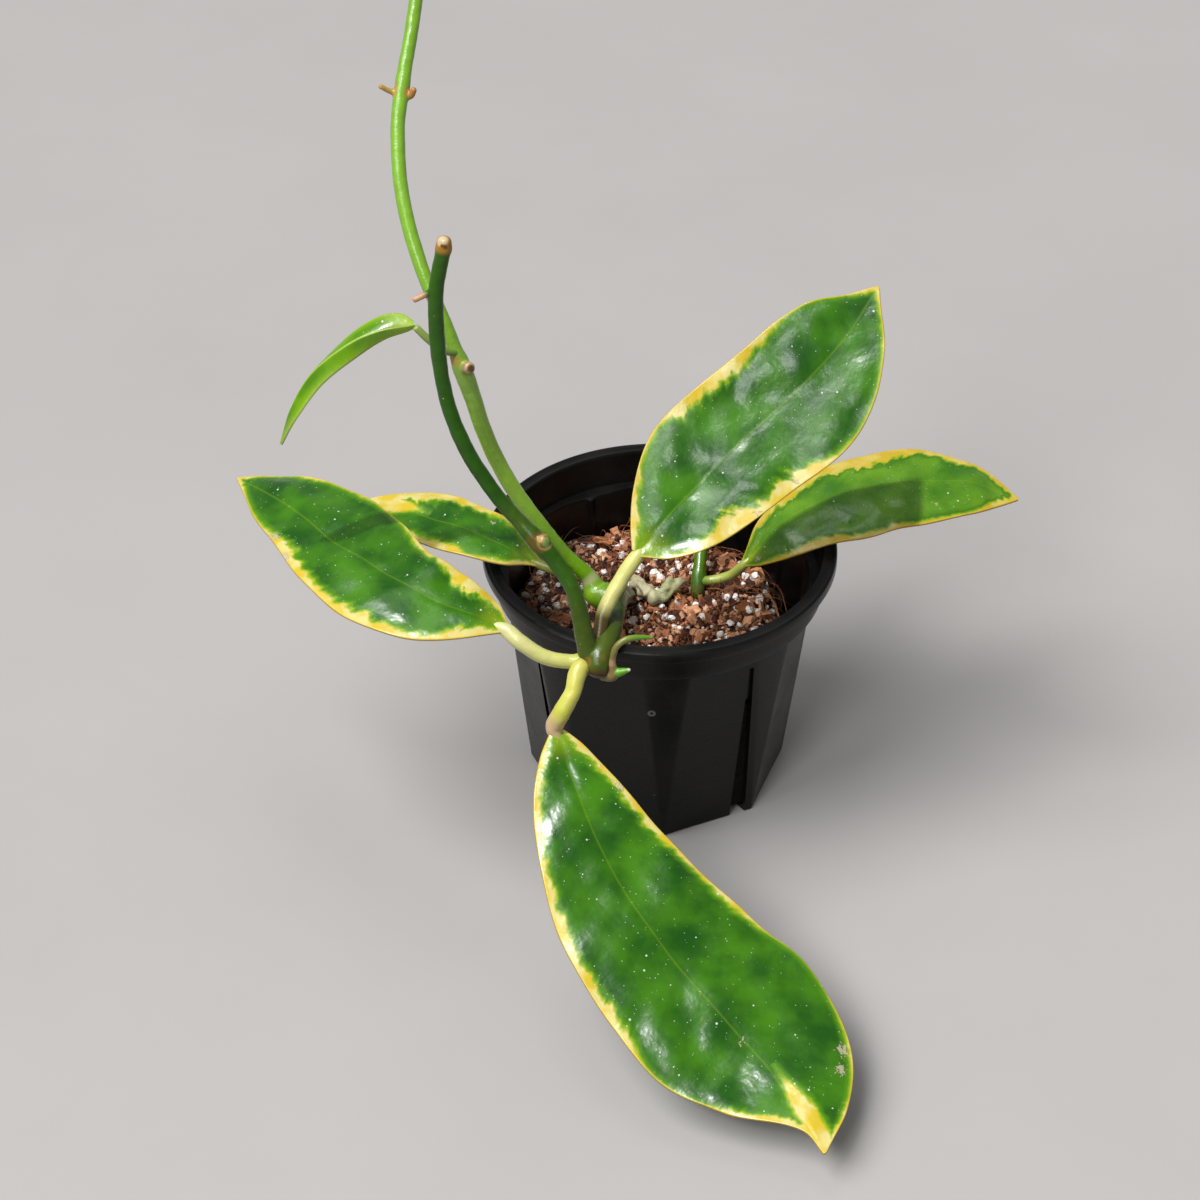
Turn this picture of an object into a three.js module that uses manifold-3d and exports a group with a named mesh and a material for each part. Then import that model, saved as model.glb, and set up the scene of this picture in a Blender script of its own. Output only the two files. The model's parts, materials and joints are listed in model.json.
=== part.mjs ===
// Potted hoya: a young variegated plant in a round nursery pot. Millimetres, +Z up.
// The origin is the middle of the pot's underside. The viewer stands at -Y, with +X to the right.
import * as THREE from 'three';
import { mergeVertices } from 'three/addons/utils/BufferGeometryUtils.js';
import Module from 'manifold-3d';

const wasm = await Module();
wasm.setup();

// ---------------------------------------------------------------- driving dimensions
const GAP = 0.3;                 // clearance where two pieces meet
const POT_HEIGHT = 77;
const RIM_RADIUS = 50;           // outer edge of the turned-down lip
const RIM_INNER_RADIUS = 46;     // inner edge of the flat ring on top
const LIP_DROP = 3.4;            // how far the lip hangs below the ring
const COLLAR_BOTTOM = 65.4;      // underside of the collar
const COLLAR_TOP_RADIUS = 47.5;
const COLLAR_LOW_RADIUS = 46.7;
const LEDGE_HEIGHT = 66.6;       // upper face of the ledge inside
const LEDGE_OUTER_RADIUS = 45.2;
const WALL = 1.2;
const FLOOR_THICKNESS = 1.6;
const BASE_CORNER_RADIUS = 37;   // round cone and octagon meet in these eight corners
const BODY_TOP_RADIUS = 43.8;    // round cone just under the collar
const BODY_TOP_APOTHEM = 42.6;   // flats of the eight-sided form just under the collar
const CORNER_TURN = 1.8;         // degrees from the front to the first corner, toward the right
const POT_SEGMENTS = 48;
const SLOT_TURN = 36;            // degrees from the front to the first wall slot
const SLOT_TOP = 60;
const SLOT_TOP_WIDTH = 1.3;
const SLOT_LOW_WIDTH = 5;
const SLOT_LOW_SHIFT = 2.5;      // the slots lean to the viewer's right toward the floor
const DRAIN_RADIUS = 3;
const DRAIN_RING_RADIUS = 21;
const DRAIN_COUNT = 6;
const BODY_INSIDE_RADIUS = 31;    // less than the distance from the axis to any of the body's flats
const SOIL_LEVEL = 56.5;
const SOIL_HOLLOW_DEPTH = 13;     // where the soil has shrunk away from the wall
const SOIL_HOLLOW_TURN = 118;     // degrees from the front to the middle of that hollow
const SOIL_BACK_DROP = 2.2;       // how much lower the soil lies at the back
const SOIL_BITS_REACH = 36;
const SOIL_SEED = 20;
const CHIP_COUNT = 34;
const GRAIN_COUNT = 30;
const BLADE_STEPS = 14;
const TIP_BLADE_STEPS = 6;
const BLADE_STRIPS = 6;
const BLADE_EDGE = 0.7;          // thickness of a blade at its margin

// ---------------------------------------------------------------- colours
const paint = (color, roughness) => new THREE.MeshStandardMaterial({ color, roughness, metalness: 0 });
const BLACK_PLASTIC = paint(0x17181a, 0.42);
const COIR_MIX = paint(0x6a3c28, 0.95);
const OLD_STEM_GREEN = paint(0x2f5a18, 0.45);
const VINE_GREEN = paint(0x4f9022, 0.4);
const PETIOLE_GREEN = paint(0xb9c068, 0.4);
const SHOOT_BROWN = paint(0x8b8a45, 0.5);
const DRIED_CREAM = paint(0xcfc493, 0.8);
const LEAF_GREEN = paint(0x2c6b22, 0.35);
const YOUNG_LEAF_GREEN = paint(0x6aa012, 0.4);

// ---------------------------------------------------------------- the plant's stems
// Each stem is a list of points with the stem's radius there: [x, y, z, radius].
const OLD_STEM = [
  [-9, 5, 48, 3.0], [-9.7, -3, 60.5, 3.1], [-11.8, -18, 71.5, 3.1], [-12.8, -34, 79.5, 3.0],
  [-14.1, -46.5, 82, 3.0], [-16.8, -55, 80.6, 3.5], [-17.4, -58.6, 77.8, 2.8],
];
const FRONT_STEM = [
  [-19.3, -55, 79, 3.0], [-21, -53, 86, 2.6], [-23.7, -48, 96.5, 2.2], [-28.5, -44, 103.5, 2.25],
  [-33.5, -41, 108.5, 2.7], [-38.5, -38, 113, 2.1], [-44.8, -35, 120, 2.05], [-51.2, -32, 130, 2.1],
  [-55.6, -29, 140, 2.0], [-58.1, -26, 150.5, 2.0], [-59.1, -24, 162.5, 2.1], [-59, -22, 175, 2.05],
  [-56.8, -20.1, 186, 2.0],
];
const FRONT_STEM_CALLUS = [
  [-57.2, -20.4, 184, 2.0], [-56.8, -20.1, 186.2, 2.2], [-56.5, -19.9, 188.4, 1.9],
];
const FRONT_STEM_STUB = [
  [-33.5, -41, 108.7, 2.0], [-32.4, -41.9, 109.2, 2.1], [-31.4, -42.8, 109.7, 1.9],
];
const FRONT_STEM_ROOT = [[-59, -22, 174.2, 1.2], [-61.3, -22.6, 174, 0.9], [-64.7, -23.3, 172.6, 0.85]];
const VINE = [
  [-13, -23, 75, 4], [-17.5, -20.5, 75.5, 3.9], [-20, -18.5, 79.5, 2.4], [-26.3, -17, 86, 2.05],
  [-32.6, -16.8, 95, 2.2], [-39, -16, 105, 2.25], [-44.1, -15, 115, 2.25], [-48.1, -14, 125.5, 2.25],
  [-50.7, -13, 135, 2.35], [-53.4, -12, 144, 2.6], [-55.4, -10.6, 149.8, 1.95], [-58.4, -7.8, 157.1, 1.9],
  [-62.5, -3.2, 165.4, 1.9], [-65.5, 2, 172.4, 1.95], [-67.9, 7.7, 178.8, 1.95], [-69.8, 15.6, 186.8, 1.95],
  [-70.4, 25.3, 196.1, 1.95], [-69.5, 32.4, 202.7, 2.1], [-68.6, 37.3, 207.5, 1.95], [-67.1, 44.3, 213.9, 1.9],
  [-65.9, 50.9, 220.1, 1.85], [-64.2, 58, 228.5, 1.7], [-61, 64.8, 239.5, 1.5], [-56.5, 69.5, 250.5, 1.2],
  [-53, 72, 259, 0.8],
];
const VINE_SCAR = [[-53, -12.4, 144.4, 1.9], [-52, -13.9, 145.5, 1.8], [-51.3, -14.9, 146.1, 1.65]];
const VINE_ROOT_LEFT = [[-69.5, 32.4, 202.7, 1.3], [-72.2, 31.8, 202.9, 0.8], [-75.2, 31.6, 204.7, 0.7]];
const VINE_ROOT_RIGHT = [[-69.5, 32.4, 202.7, 1.6], [-67.2, 31.2, 202.1, 1.1], [-66, 31, 204.1, 0.8]];
const SECOND_STEM = [
  [11, 6, 46, 1.9], [11, 3.4, 55, 1.9], [11.2, 4.2, 60, 2.1], [11.8, 9, 64, 1.8], [12.6, 15, 67.5, 1.7],
  [13.4, 19, 70, 1.9],
];
const YOUNG_SHOOT = [
  [-16, -57.5, 76.5, 1.9], [-13.3, -58.6, 77, 1.6], [-13.5, -58, 81, 0.95], [-12.6, -57.5, 85.3, 0.9],
  [-10, -56.5, 87.3, 0.9], [-6, -55.3, 87.2, 0.75], [-2.8, -54.5, 86.4, 0.45],
];
const YOUNG_SHOOT_BUD = [[-13.6, -58.6, 77.4, 1.3], [-11.4, -59, 78.3, 1.2], [-8.8, -59.4, 79.4, 0.45]];
const DRIED_SHOOT = [
  [-7.5, 7.5, 59.5, 1.2], [-5, 2, 60.2, 1.9], [-1.5, -1.8, 59.2, 2.3], [2.2, -0.5, 60.4, 1.8],
  [5.2, 2.6, 61.6, 1.4], [7.6, 4, 60.8, 0.9],
];

// Leaf stalks, from the stem to the blade.
const PETIOLES = {
  petiole_left: [[-20.5, -55, 79.4, 2.3], [-24.5, -55.2, 78.8, 2.05], [-31.5, -54.8, 80, 2.05],
    [-37.8, -53, 83.4, 2.15], [-41.7, -50.4, 86, 2.1]],
  petiole_front: [[-20.4, -54.5, 79, 2.7], [-22.7, -58.5, 77.6, 2.5], [-24.1, -62, 73.8, 2.25],
    [-27, -64.6, 69, 2.45], [-29.1, -65.7, 64.8, 2.7]],
  petiole_upright: [[-17.2, -51.5, 82, 1.8], [-15.7, -44.9, 87.5, 2.1], [-11.2, -39.6, 94.4, 2.1],
    [-6.9, -36.8, 100.6, 2.0]],
  petiole_right: [[11.6, 4.2, 60.6, 1.4], [16, 4.4, 61, 1.4], [20.5, 3.8, 63.2, 1.4],
    [23.8, 2.6, 67.4, 1.5]],
  petiole_folded: [[-54, -11.5, 148.6, 1.0], [-58, -13.3, 150.6, 0.95], [-61.6, -14.2, 154.2, 0.9],
    [-65.1, -14.1, 158.4, 0.9]],
  petiole_back: [[-19, -18.6, 78, 1.6], [-24.5, -16.4, 79, 1.5], [-29, -14.8, 79, 1.5],
    [-33.2, -12.8, 79.3, 1.5]],
  petiole_hidden: [[13.2, 18.4, 69.6, 1.4], [15, 21.5, 70.8, 1.3], [17.3, 24.4, 72.2, 1.3]],
};

// Blades. rib: points of the midrib from base to tip. face: the way the upper side looks, from base to
// tip. left and right: half widths at BLADE_STATIONS, seen from the base with the upper side up. cup
// lifts the margins and fold creases the blade along its midrib, both as a share of the half width.
const BLADE_STATIONS = [0, 0.05, 0.14, 0.28, 0.42, 0.56, 0.7, 0.84, 0.94, 1];
const BLADES = {
  leaf_left: {
    rib: [[-42, -50, 86], [-56.5, -46, 90], [-72.5, -36, 92], [-88, -21, 92], [-104, 0, 90],
      [-120, 20.5, 85]],
    face: [[-0.05, -0.2, 0.97], [-0.2, -0.05, 0.97]],
    left: [1.6, 4, 8.5, 15, 17, 15.5, 12, 8.5, 3.5, 0.5],
    right: [1.6, 7, 11, 12.5, 14.5, 18, 18, 13.5, 7, 0.5],
    cup: -0.1, fold: 0, thickness: 1.4,
  },
  leaf_front: {
    rib: [[-28.5, -66, 64], [-20.5, -87, 52], [-9, -106, 39], [8, -125, 26], [26, -144, 16],
      [40, -169, 11]],
    face: [[0.1, -0.3, 0.9], [0.1, -0.35, 0.93]],
    left: [1.8, 6.5, 12, 17.5, 22, 26, 29, 22.5, 11.5, 0.5],
    right: [1.8, 6.5, 12, 17.5, 22, 24, 24, 16, 2, 0.5],
    cup: -0.08, fold: 0, thickness: 1.5,
  },
  leaf_upright: {
    rib: [[-7, -36.5, 101], [5, -26.5, 110.5], [20.5, -17, 123], [37.5, -8, 136], [49, 0, 146],
      [58, 9.5, 156]],
    face: [[-0.1, -0.7, 0.7], [-0.15, -0.75, 0.6]],
    left: [1.8, 6, 12, 19, 19, 18, 17, 13, 5, 0.5],
    right: [1.8, 8, 13.5, 17.5, 19.5, 21, 17.5, 10.5, 4, 0.5],
    cup: 0.05, fold: 0, thickness: 1.5,
  },
  leaf_right: {
    rib: [[24, 2.5, 68], [34, 7, 78.5], [50, 13.5, 83.5], [66, 16.5, 86.5], [85, 16, 86.5],
      [102, 14.5, 82]],
    face: [[0, -0.1, 1], [0, -0.1, 1]],
    left: [1.4, 3, 6, 9, 13, 14, 14, 10, 5, 0.5],
    right: [1.4, 5.5, 10.5, 15, 18, 19, 17, 12, 5, 0.5],
    cup: -0.05, fold: 0, thickness: 1.4,
  },
  leaf_folded: {
    rib: [[-65.5, -14, 159], [-75, -15.5, 158], [-83.5, -16.5, 154], [-93, -18, 146], [-98.5, -20.5, 137],
      [-102, -21, 126]],
    face: [[-0.1, -0.93, 0.37], [-0.85, 0.3, 0.5]],
    left: [1, 1.8, 2.4, 3, 3.3, 3.4, 3.2, 2.6, 1.5, 0.5],
    right: [1, 3, 3.8, 3.6, 3.2, 2.8, 2.4, 1.8, 1, 0.5],
    cup: 0, fold: -0.8, thickness: 1,
  },
  leaf_back: {
    rib: [[-33.5, -12.5, 79.5], [-46, -7.5, 83], [-59, -0.5, 84], [-72, 7, 83.5], [-88, 13, 80]],
    face: [[0, -0.1, 0.99], [-0.1, -0.1, 0.99]],
    left: [1.4, 2.5, 5.5, 8, 9.5, 9.5, 10, 8.5, 4, 0.5],
    right: [1.4, 3, 7, 10.5, 11.5, 11.5, 9.5, 7, 4, 0.5],
    cup: -0.05, fold: 0, thickness: 1.2,
  },
  leaf_hidden: {
    rib: [[17.5, 24.6, 72.4], [26, 31, 79], [38, 38, 84], [49, 46, 86.5], [58, 53, 86]],
    face: [[-0.1, -0.2, 0.97], [0, -0.2, 0.97]],
    left: [1.2, 3, 6, 9, 10, 10, 9, 6.5, 3, 0.5],
    right: [1.2, 3, 6, 9, 10.5, 10.5, 9, 6.5, 3, 0.5],
    cup: -0.05, fold: 0, thickness: 1.2,
  },
};

// The pair of tiny leaves that opens at the vine's growing tip, above the photograph's view.
const TIP_BLADE_WIDTHS = [0.7, 1.1, 1.8, 2.6, 3, 3, 2.6, 1.8, 0.9, 0.4];
const TIP_BLADES = [
  {
    rib: [[-53.4, 72, 258.5], [-56.6, 70.8, 262.6], [-60.2, 69.2, 265.1], [-64.1, 67.2, 266.1]],
    face: [[0.5, -0.3, 0.8], [0.1, -0.3, 0.95]],
  },
  {
    rib: [[-52.9, 72.4, 258.5], [-50.6, 74.2, 263.6], [-47.6, 75.8, 267.6], [-44.1, 77.2, 269.7]],
    face: [[-0.7, -0.4, 0.6], [-0.4, -0.4, 0.8]],
  },
].map((shape) => ({
  ...shape, left: TIP_BLADE_WIDTHS, right: TIP_BLADE_WIDTHS, cup: 0.25, fold: 0, thickness: 0.9,
}));

// ---------------------------------------------------------------- solids
const UP = new THREE.Vector3(0, 0, 1);
const SIDEWAYS = new THREE.Vector3(1, 0, 0);
const vec = (p) => new THREE.Vector3(p[0], p[1], p[2]);
const radians = THREE.MathUtils.degToRad;

// A closed mesh becomes a solid: shared vertices merged, empty triangles dropped.
function solidOf(geometry) {
  const bare = geometry.clone();
  bare.deleteAttribute('normal');
  bare.deleteAttribute('uv');
  const merged = mergeVertices(bare, 1e-4);
  const corners = merged.index.array;
  const kept = [];
  for (let i = 0; i < corners.length; i += 3) {
    const [a, b, c] = [corners[i], corners[i + 1], corners[i + 2]];
    if (a !== b && b !== c && a !== c) kept.push(a, b, c);
  }
  const vertProperties = new Float32Array(merged.attributes.position.array);
  return new wasm.Manifold(new wasm.Mesh({ numProp: 3, vertProperties, triVerts: new Uint32Array(kept) }));
}

// A solid becomes a named mesh. Scraps that a cut leaves loose are dropped.
function meshOf(name, solid, material) {
  const bodies = solid.decompose().sort((a, b) => b.volume() - a.volume());
  const data = bodies[0].getMesh();
  const geometry = new THREE.BufferGeometry();
  geometry.setAttribute('position', new THREE.BufferAttribute(new Float32Array(data.vertProperties), 3));
  geometry.setIndex(new THREE.BufferAttribute(new Uint32Array(data.triVerts), 1));
  geometry.computeVertexNormals();
  const mesh = new THREE.Mesh(geometry, material);
  mesh.name = name;
  return mesh;
}

const joined = (solids) => solids.reduce((whole, solid) => whole.add(solid));

// A closed body through rings with the same number of points. From point `turn` on, each square is
// split the other way, so that both faces of a blade have their triangles alike.
function loft(rings, turn = Infinity) {
  const count = rings[0].length;
  const points = rings.flat();
  const triangles = [];
  for (let i = 0; i + 1 < rings.length; i += 1) {
    for (let j = 0; j < count; j += 1) {
      const a = i * count + j;
      const b = i * count + (j + 1) % count;
      const c = b + count;
      const d = a + count;
      if (j < turn) triangles.push(a, b, c, a, c, d);
      else triangles.push(a, b, d, b, c, d);
    }
  }
  for (const [ring, start] of [[rings[0], 0], [rings.at(-1), (rings.length - 1) * count]]) {
    const middle = points.length;
    const centre = new THREE.Vector3();
    for (const p of ring) centre.addScaledVector(p, 1 / count);
    points.push(centre);
    for (let j = 0; j < count; j += 1) {
      const pair = [start + j, start + (j + 1) % count];
      if (start === 0) pair.reverse();
      triangles.push(middle, ...pair);
    }
  }
  let volume = 0;
  for (let i = 0; i < triangles.length; i += 3) {
    const [p, q, r] = [points[triangles[i]], points[triangles[i + 1]], points[triangles[i + 2]]];
    volume += p.dot(new THREE.Vector3().crossVectors(q, r));
  }
  if (volume < 0) triangles.reverse();
  const geometry = new THREE.BufferGeometry().setFromPoints(points);
  geometry.setIndex(triangles);
  return solidOf(geometry);
}

// A round stem along its points. `extra` thickens it evenly, for the room that its neighbours leave.
function stem(route, sides, extra = 0) {
  const path = new THREE.CatmullRomCurve3(route.map(vec), false, 'catmullrom', 0.5);
  const steps = (route.length - 1) * 2;
  const rings = [];
  let side = null;
  for (let i = 0; i <= steps; i += 1) {
    const t = i / steps;
    const ahead = path.getTangent(t);
    if (!side) side = new THREE.Vector3().crossVectors(ahead, Math.abs(ahead.z) > 0.9 ? SIDEWAYS : UP);
    side.addScaledVector(ahead, -side.dot(ahead)).normalize();
    const over = new THREE.Vector3().crossVectors(ahead, side);
    const before = route[Math.floor(i / 2)][3];
    const after = route[Math.ceil(i / 2)][3];
    const radius = (before + after) / 2 + extra;
    const centre = path.getPoint(t);
    if (i === 0) centre.addScaledVector(ahead, -extra);
    if (i === steps) centre.addScaledVector(ahead, extra);
    const ring = [];
    for (let j = 0; j < sides; j += 1) {
      const angle = (j / sides) * 2 * Math.PI;
      ring.push(centre.clone()
        .addScaledVector(side, radius * Math.cos(angle))
        .addScaledVector(over, radius * Math.sin(angle)));
    }
    rings.push(ring);
  }
  return loft(rings);
}

// A smooth value between a blade's stations.
function profile(values, t) {
  const last = BLADE_STATIONS.length - 1;
  let k = BLADE_STATIONS.findIndex((station, i) => i === last - 1 || BLADE_STATIONS[i + 1] > t);
  k = Math.min(k, last - 1);
  const slope = (i) => {
    const low = Math.max(i - 1, 0);
    const high = Math.min(i + 1, last);
    return (values[high] - values[low]) / (BLADE_STATIONS[high] - BLADE_STATIONS[low]);
  };
  const span = BLADE_STATIONS[k + 1] - BLADE_STATIONS[k];
  const u = (t - BLADE_STATIONS[k]) / span;
  const [u2, u3] = [u * u, u * u * u];
  return (2 * u3 - 3 * u2 + 1) * values[k] + (u3 - 2 * u2 + u) * slope(k) * span
    + (3 * u2 - 2 * u3) * values[k + 1] + (u3 - u2) * slope(k + 1) * span;
}

// A fleshy blade: a lens-shaped section carried along the midrib. `extra` grows it evenly.
function blade({ rib, face, left, right, cup, fold, thickness }, extra = 0, steps = BLADE_STEPS) {
  const path = new THREE.CatmullRomCurve3(rib.map(vec), false, 'catmullrom', 0.5);
  const rings = [];
  for (let i = 0; i <= steps; i += 1) {
    const t = (1 - Math.cos((i / steps) * Math.PI)) / 2;
    const ahead = path.getTangent(t);
    const facing = vec(face[0]).lerp(vec(face[1]), t).normalize();
    const side = new THREE.Vector3().crossVectors(ahead, facing).normalize();
    const normal = new THREE.Vector3().crossVectors(side, ahead);
    const centre = path.getPoint(t);
    if (i === 0) centre.addScaledVector(ahead, -extra);
    const upper = [];
    const lower = [];
    for (let j = 0; j <= BLADE_STRIPS; j += 1) {
      const across = (2 * j) / BLADE_STRIPS - 1;
      const reach = Math.abs(across);
      const width = Math.max(profile(across < 0 ? left : right, t), 0.3) + extra;
      const lift = cup * reach * reach + fold * (Math.sqrt(reach * reach + 0.01) - 0.1);
      const fullness = (1 - reach * reach) * Math.sin(Math.PI * Math.min(t + 0.12, 1));
      const flesh = BLADE_EDGE + (thickness - BLADE_EDGE) * fullness + 2 * extra;
      const middle = centre.clone()
        .addScaledVector(side, width * across)
        .addScaledVector(normal, width * lift);
      upper.push(middle.clone().addScaledVector(normal, flesh / 2));
      lower.unshift(middle.clone().addScaledVector(normal, -flesh / 2));
    }
    rings.push([...upper, ...lower]);
  }
  return loft(rings, BLADE_STRIPS + 1);
}

// ---------------------------------------------------------------- pot
// Round body with eight flats, `inset` smaller all round, from `low` up to `high`.
function potBody(inset, low, high) {
  const apothem = BASE_CORNER_RADIUS * Math.cos(Math.PI / 8);
  const widening = (from, to, z) => from + ((to - from) * z) / COLLAR_BOTTOM - inset;
  const coneAt = (z) => widening(BASE_CORNER_RADIUS, BODY_TOP_RADIUS, z);
  const flatAt = (z) => widening(apothem, BODY_TOP_APOTHEM, z);
  const cone = new THREE.LatheGeometry([
    new THREE.Vector2(0, low), new THREE.Vector2(coneAt(low), low),
    new THREE.Vector2(coneAt(high), high), new THREE.Vector2(0, high),
  ], POT_SEGMENTS);
  cone.rotateX(Math.PI / 2);
  const corner = 1 / Math.cos(Math.PI / 8);
  const flats = new THREE.CylinderGeometry(flatAt(high) * corner, flatAt(low) * corner, high - low, 8);
  flats.rotateX(Math.PI / 2);
  flats.rotateZ(radians(CORNER_TURN));
  flats.translate(0, 0, (low + high) / 2);
  return solidOf(cone).intersect(solidOf(flats));
}

function turned(profilePoints) {
  const outline = profilePoints.map(([r, z]) => new THREE.Vector2(r, z));
  const geometry = new THREE.LatheGeometry(outline, POT_SEGMENTS);
  geometry.rotateX(Math.PI / 2);
  return solidOf(geometry);
}

function wallSlot(turn) {
  const outline = new THREE.Shape([
    new THREE.Vector2(SLOT_LOW_SHIFT - SLOT_LOW_WIDTH / 2, -1),
    new THREE.Vector2(SLOT_LOW_SHIFT + SLOT_LOW_WIDTH / 2, -1),
    new THREE.Vector2(SLOT_TOP_WIDTH / 2, SLOT_TOP), new THREE.Vector2(-SLOT_TOP_WIDTH / 2, SLOT_TOP),
  ]);
  const [near, far] = [BODY_INSIDE_RADIUS, RIM_RADIUS + 5];
  const geometry = new THREE.ExtrudeGeometry(outline, { depth: far - near, bevelEnabled: false });
  geometry.rotateX(Math.PI / 2);
  geometry.translate(0, -near, 0);
  geometry.rotateZ(radians(turn));
  return solidOf(geometry);
}

function drainHole(index) {
  const angle = (index / DRAIN_COUNT) * 2 * Math.PI;
  const geometry = new THREE.CylinderGeometry(DRAIN_RADIUS, DRAIN_RADIUS, FLOOR_THICKNESS + 2, 12);
  geometry.rotateX(Math.PI / 2);
  geometry.translate(DRAIN_RING_RADIUS, 0, FLOOR_THICKNESS / 2);
  geometry.rotateZ(angle);
  return solidOf(geometry);
}

function makePot() {
  const lipBottom = POT_HEIGHT - LIP_DROP;
  const collar = turned([
    [0, COLLAR_BOTTOM], [COLLAR_LOW_RADIUS - 0.5, COLLAR_BOTTOM], [COLLAR_LOW_RADIUS, COLLAR_BOTTOM + 0.7],
    [COLLAR_TOP_RADIUS, lipBottom], [RIM_RADIUS - 0.5, lipBottom], [RIM_RADIUS, lipBottom + 0.5],
    [RIM_RADIUS, POT_HEIGHT - 0.7], [RIM_RADIUS - 0.7, POT_HEIGHT], [0, POT_HEIGHT],
  ]);
  const mouth = turned([
    [0, LEDGE_HEIGHT], [LEDGE_OUTER_RADIUS, LEDGE_HEIGHT], [RIM_INNER_RADIUS - 0.3, POT_HEIGHT - 0.8],
    [RIM_INNER_RADIUS, POT_HEIGHT], [RIM_INNER_RADIUS, POT_HEIGHT + 2], [0, POT_HEIGHT + 2],
  ]);
  const slots = [0, 90, 180, 270].map((quarter) => wallSlot(SLOT_TURN + quarter));
  const drains = Array.from({ length: DRAIN_COUNT }, (_, index) => drainHole(index));
  return potBody(0, 0, COLLAR_BOTTOM + 0.2)
    .add(collar)
    .subtract(mouth)
    .subtract(potBody(WALL, FLOOR_THICKNESS, POT_HEIGHT - 5))
    .subtract(joined(slots))
    .subtract(joined(drains));
}

// ---------------------------------------------------------------- soil
function seeded(seed) {
  let state = seed;
  return () => {
    state = (state * 1664525 + 1013904223) % 4294967296;
    return state / 4294967296;
  };
}

// Height of the soil: a low mound that has shrunk away from the wall at the back right.
function soilHeight(x, y) {
  const reach = Math.hypot(x, y);
  const turn = Math.atan2(x, -y);
  const lumps = 0.9 * Math.sin(x * 0.33 + 1.2) * Math.cos(y * 0.29) + 0.6 * Math.sin(x * 0.71 - y * 0.63);
  const away = THREE.MathUtils.smoothstep(Math.cos(turn - radians(SOIL_HOLLOW_TURN)), 0.1, 0.75);
  const hollow = SOIL_HOLLOW_DEPTH * away * THREE.MathUtils.smoothstep(reach, 29, 37);
  const back = SOIL_BACK_DROP * THREE.MathUtils.smoothstep(y, 10, 38);
  return SOIL_LEVEL + lumps - hollow - back;
}

function soilMound(lift) {
  const [rings, spokes, rim] = [9, 32, 46];
  const bottom = FLOOR_THICKNESS + GAP;
  const points = [new THREE.Vector3(0, 0, soilHeight(0, 0) + lift)];
  for (let i = 1; i <= rings; i += 1) {
    for (let j = 0; j < spokes; j += 1) {
      const angle = ((j + (i % 2) / 2) / spokes) * 2 * Math.PI;
      const reach = (rim * i) / rings;
      const [x, y] = [reach * Math.cos(angle), reach * Math.sin(angle)];
      points.push(new THREE.Vector3(x, y, soilHeight(x, y) + lift));
    }
  }
  const at = (i, j) => (i === 0 ? 0 : 1 + (i - 1) * spokes + ((j % spokes) + spokes) % spokes);
  const triangles = [];
  for (let j = 0; j < spokes; j += 1) {
    triangles.push(0, at(1, j), at(1, j + 1));
    for (let i = 1; i < rings; i += 1) {
      triangles.push(at(i, j), at(i + 1, j), at(i + 1, j + 1), at(i, j), at(i + 1, j + 1), at(i, j + 1));
    }
  }
  const floorStart = points.length;
  for (let j = 0; j < spokes; j += 1) {
    const rimPoint = points[at(rings, j)];
    points.push(new THREE.Vector3(rimPoint.x, rimPoint.y, bottom));
  }
  points.push(new THREE.Vector3(0, 0, bottom));
  for (let j = 0; j < spokes; j += 1) {
    const [low, next] = [floorStart + j, floorStart + (j + 1) % spokes];
    triangles.push(at(rings, j), low, next, at(rings, j), next, at(rings, j + 1));
    triangles.push(points.length - 1, next, low);
  }
  const geometry = new THREE.BufferGeometry().setFromPoints(points);
  geometry.setIndex(triangles);
  return solidOf(geometry);
}

// Bark chips and perlite grains, half sunk in the surface.
function soilBits() {
  const random = seeded(SOIL_SEED);
  const bits = [];
  for (let i = 0; i < CHIP_COUNT + GRAIN_COUNT; i += 1) {
    const isChip = i < CHIP_COUNT;
    const reach = SOIL_BITS_REACH * Math.sqrt(random());
    const turn = random() * 2 * Math.PI;
    const [x, y] = [reach * Math.cos(turn), reach * Math.sin(turn)];
    const size = isChip ? 3 + 4 * random() : 2 + 1.4 * random();
    const bit = isChip
      ? new THREE.BoxGeometry(size, size * 0.55, 1.3)
      : new THREE.OctahedronGeometry(size * 0.6);
    bit.rotateX((random() - 0.5) * 1.2);
    bit.rotateY((random() - 0.5) * 1.2);
    bit.rotateZ(random() * 2 * Math.PI);
    bit.translate(x, y, soilHeight(x, y) + 0.2);
    bits.push(solidOf(bit));
  }
  return joined(bits);
}

// ---------------------------------------------------------------- assembly
const SIDES = { old: 10, stem: 9, petiole: 8, slim: 7 };
const mainStemWith = (extra) => joined([
  stem(OLD_STEM, SIDES.old, extra), stem(FRONT_STEM, SIDES.stem, extra),
  stem(FRONT_STEM_CALLUS, SIDES.stem, extra), stem(FRONT_STEM_STUB, SIDES.stem, extra),
  stem(FRONT_STEM_ROOT, SIDES.slim, extra),
]);
const vineWith = (extra) => joined([
  stem(VINE, SIDES.stem, extra), stem(VINE_SCAR, SIDES.stem, extra),
  stem(VINE_ROOT_LEFT, SIDES.slim, extra), stem(VINE_ROOT_RIGHT, SIDES.slim, extra),
  ...TIP_BLADES.map((shape) => blade(shape, extra, TIP_BLADE_STEPS)),
]);

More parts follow.
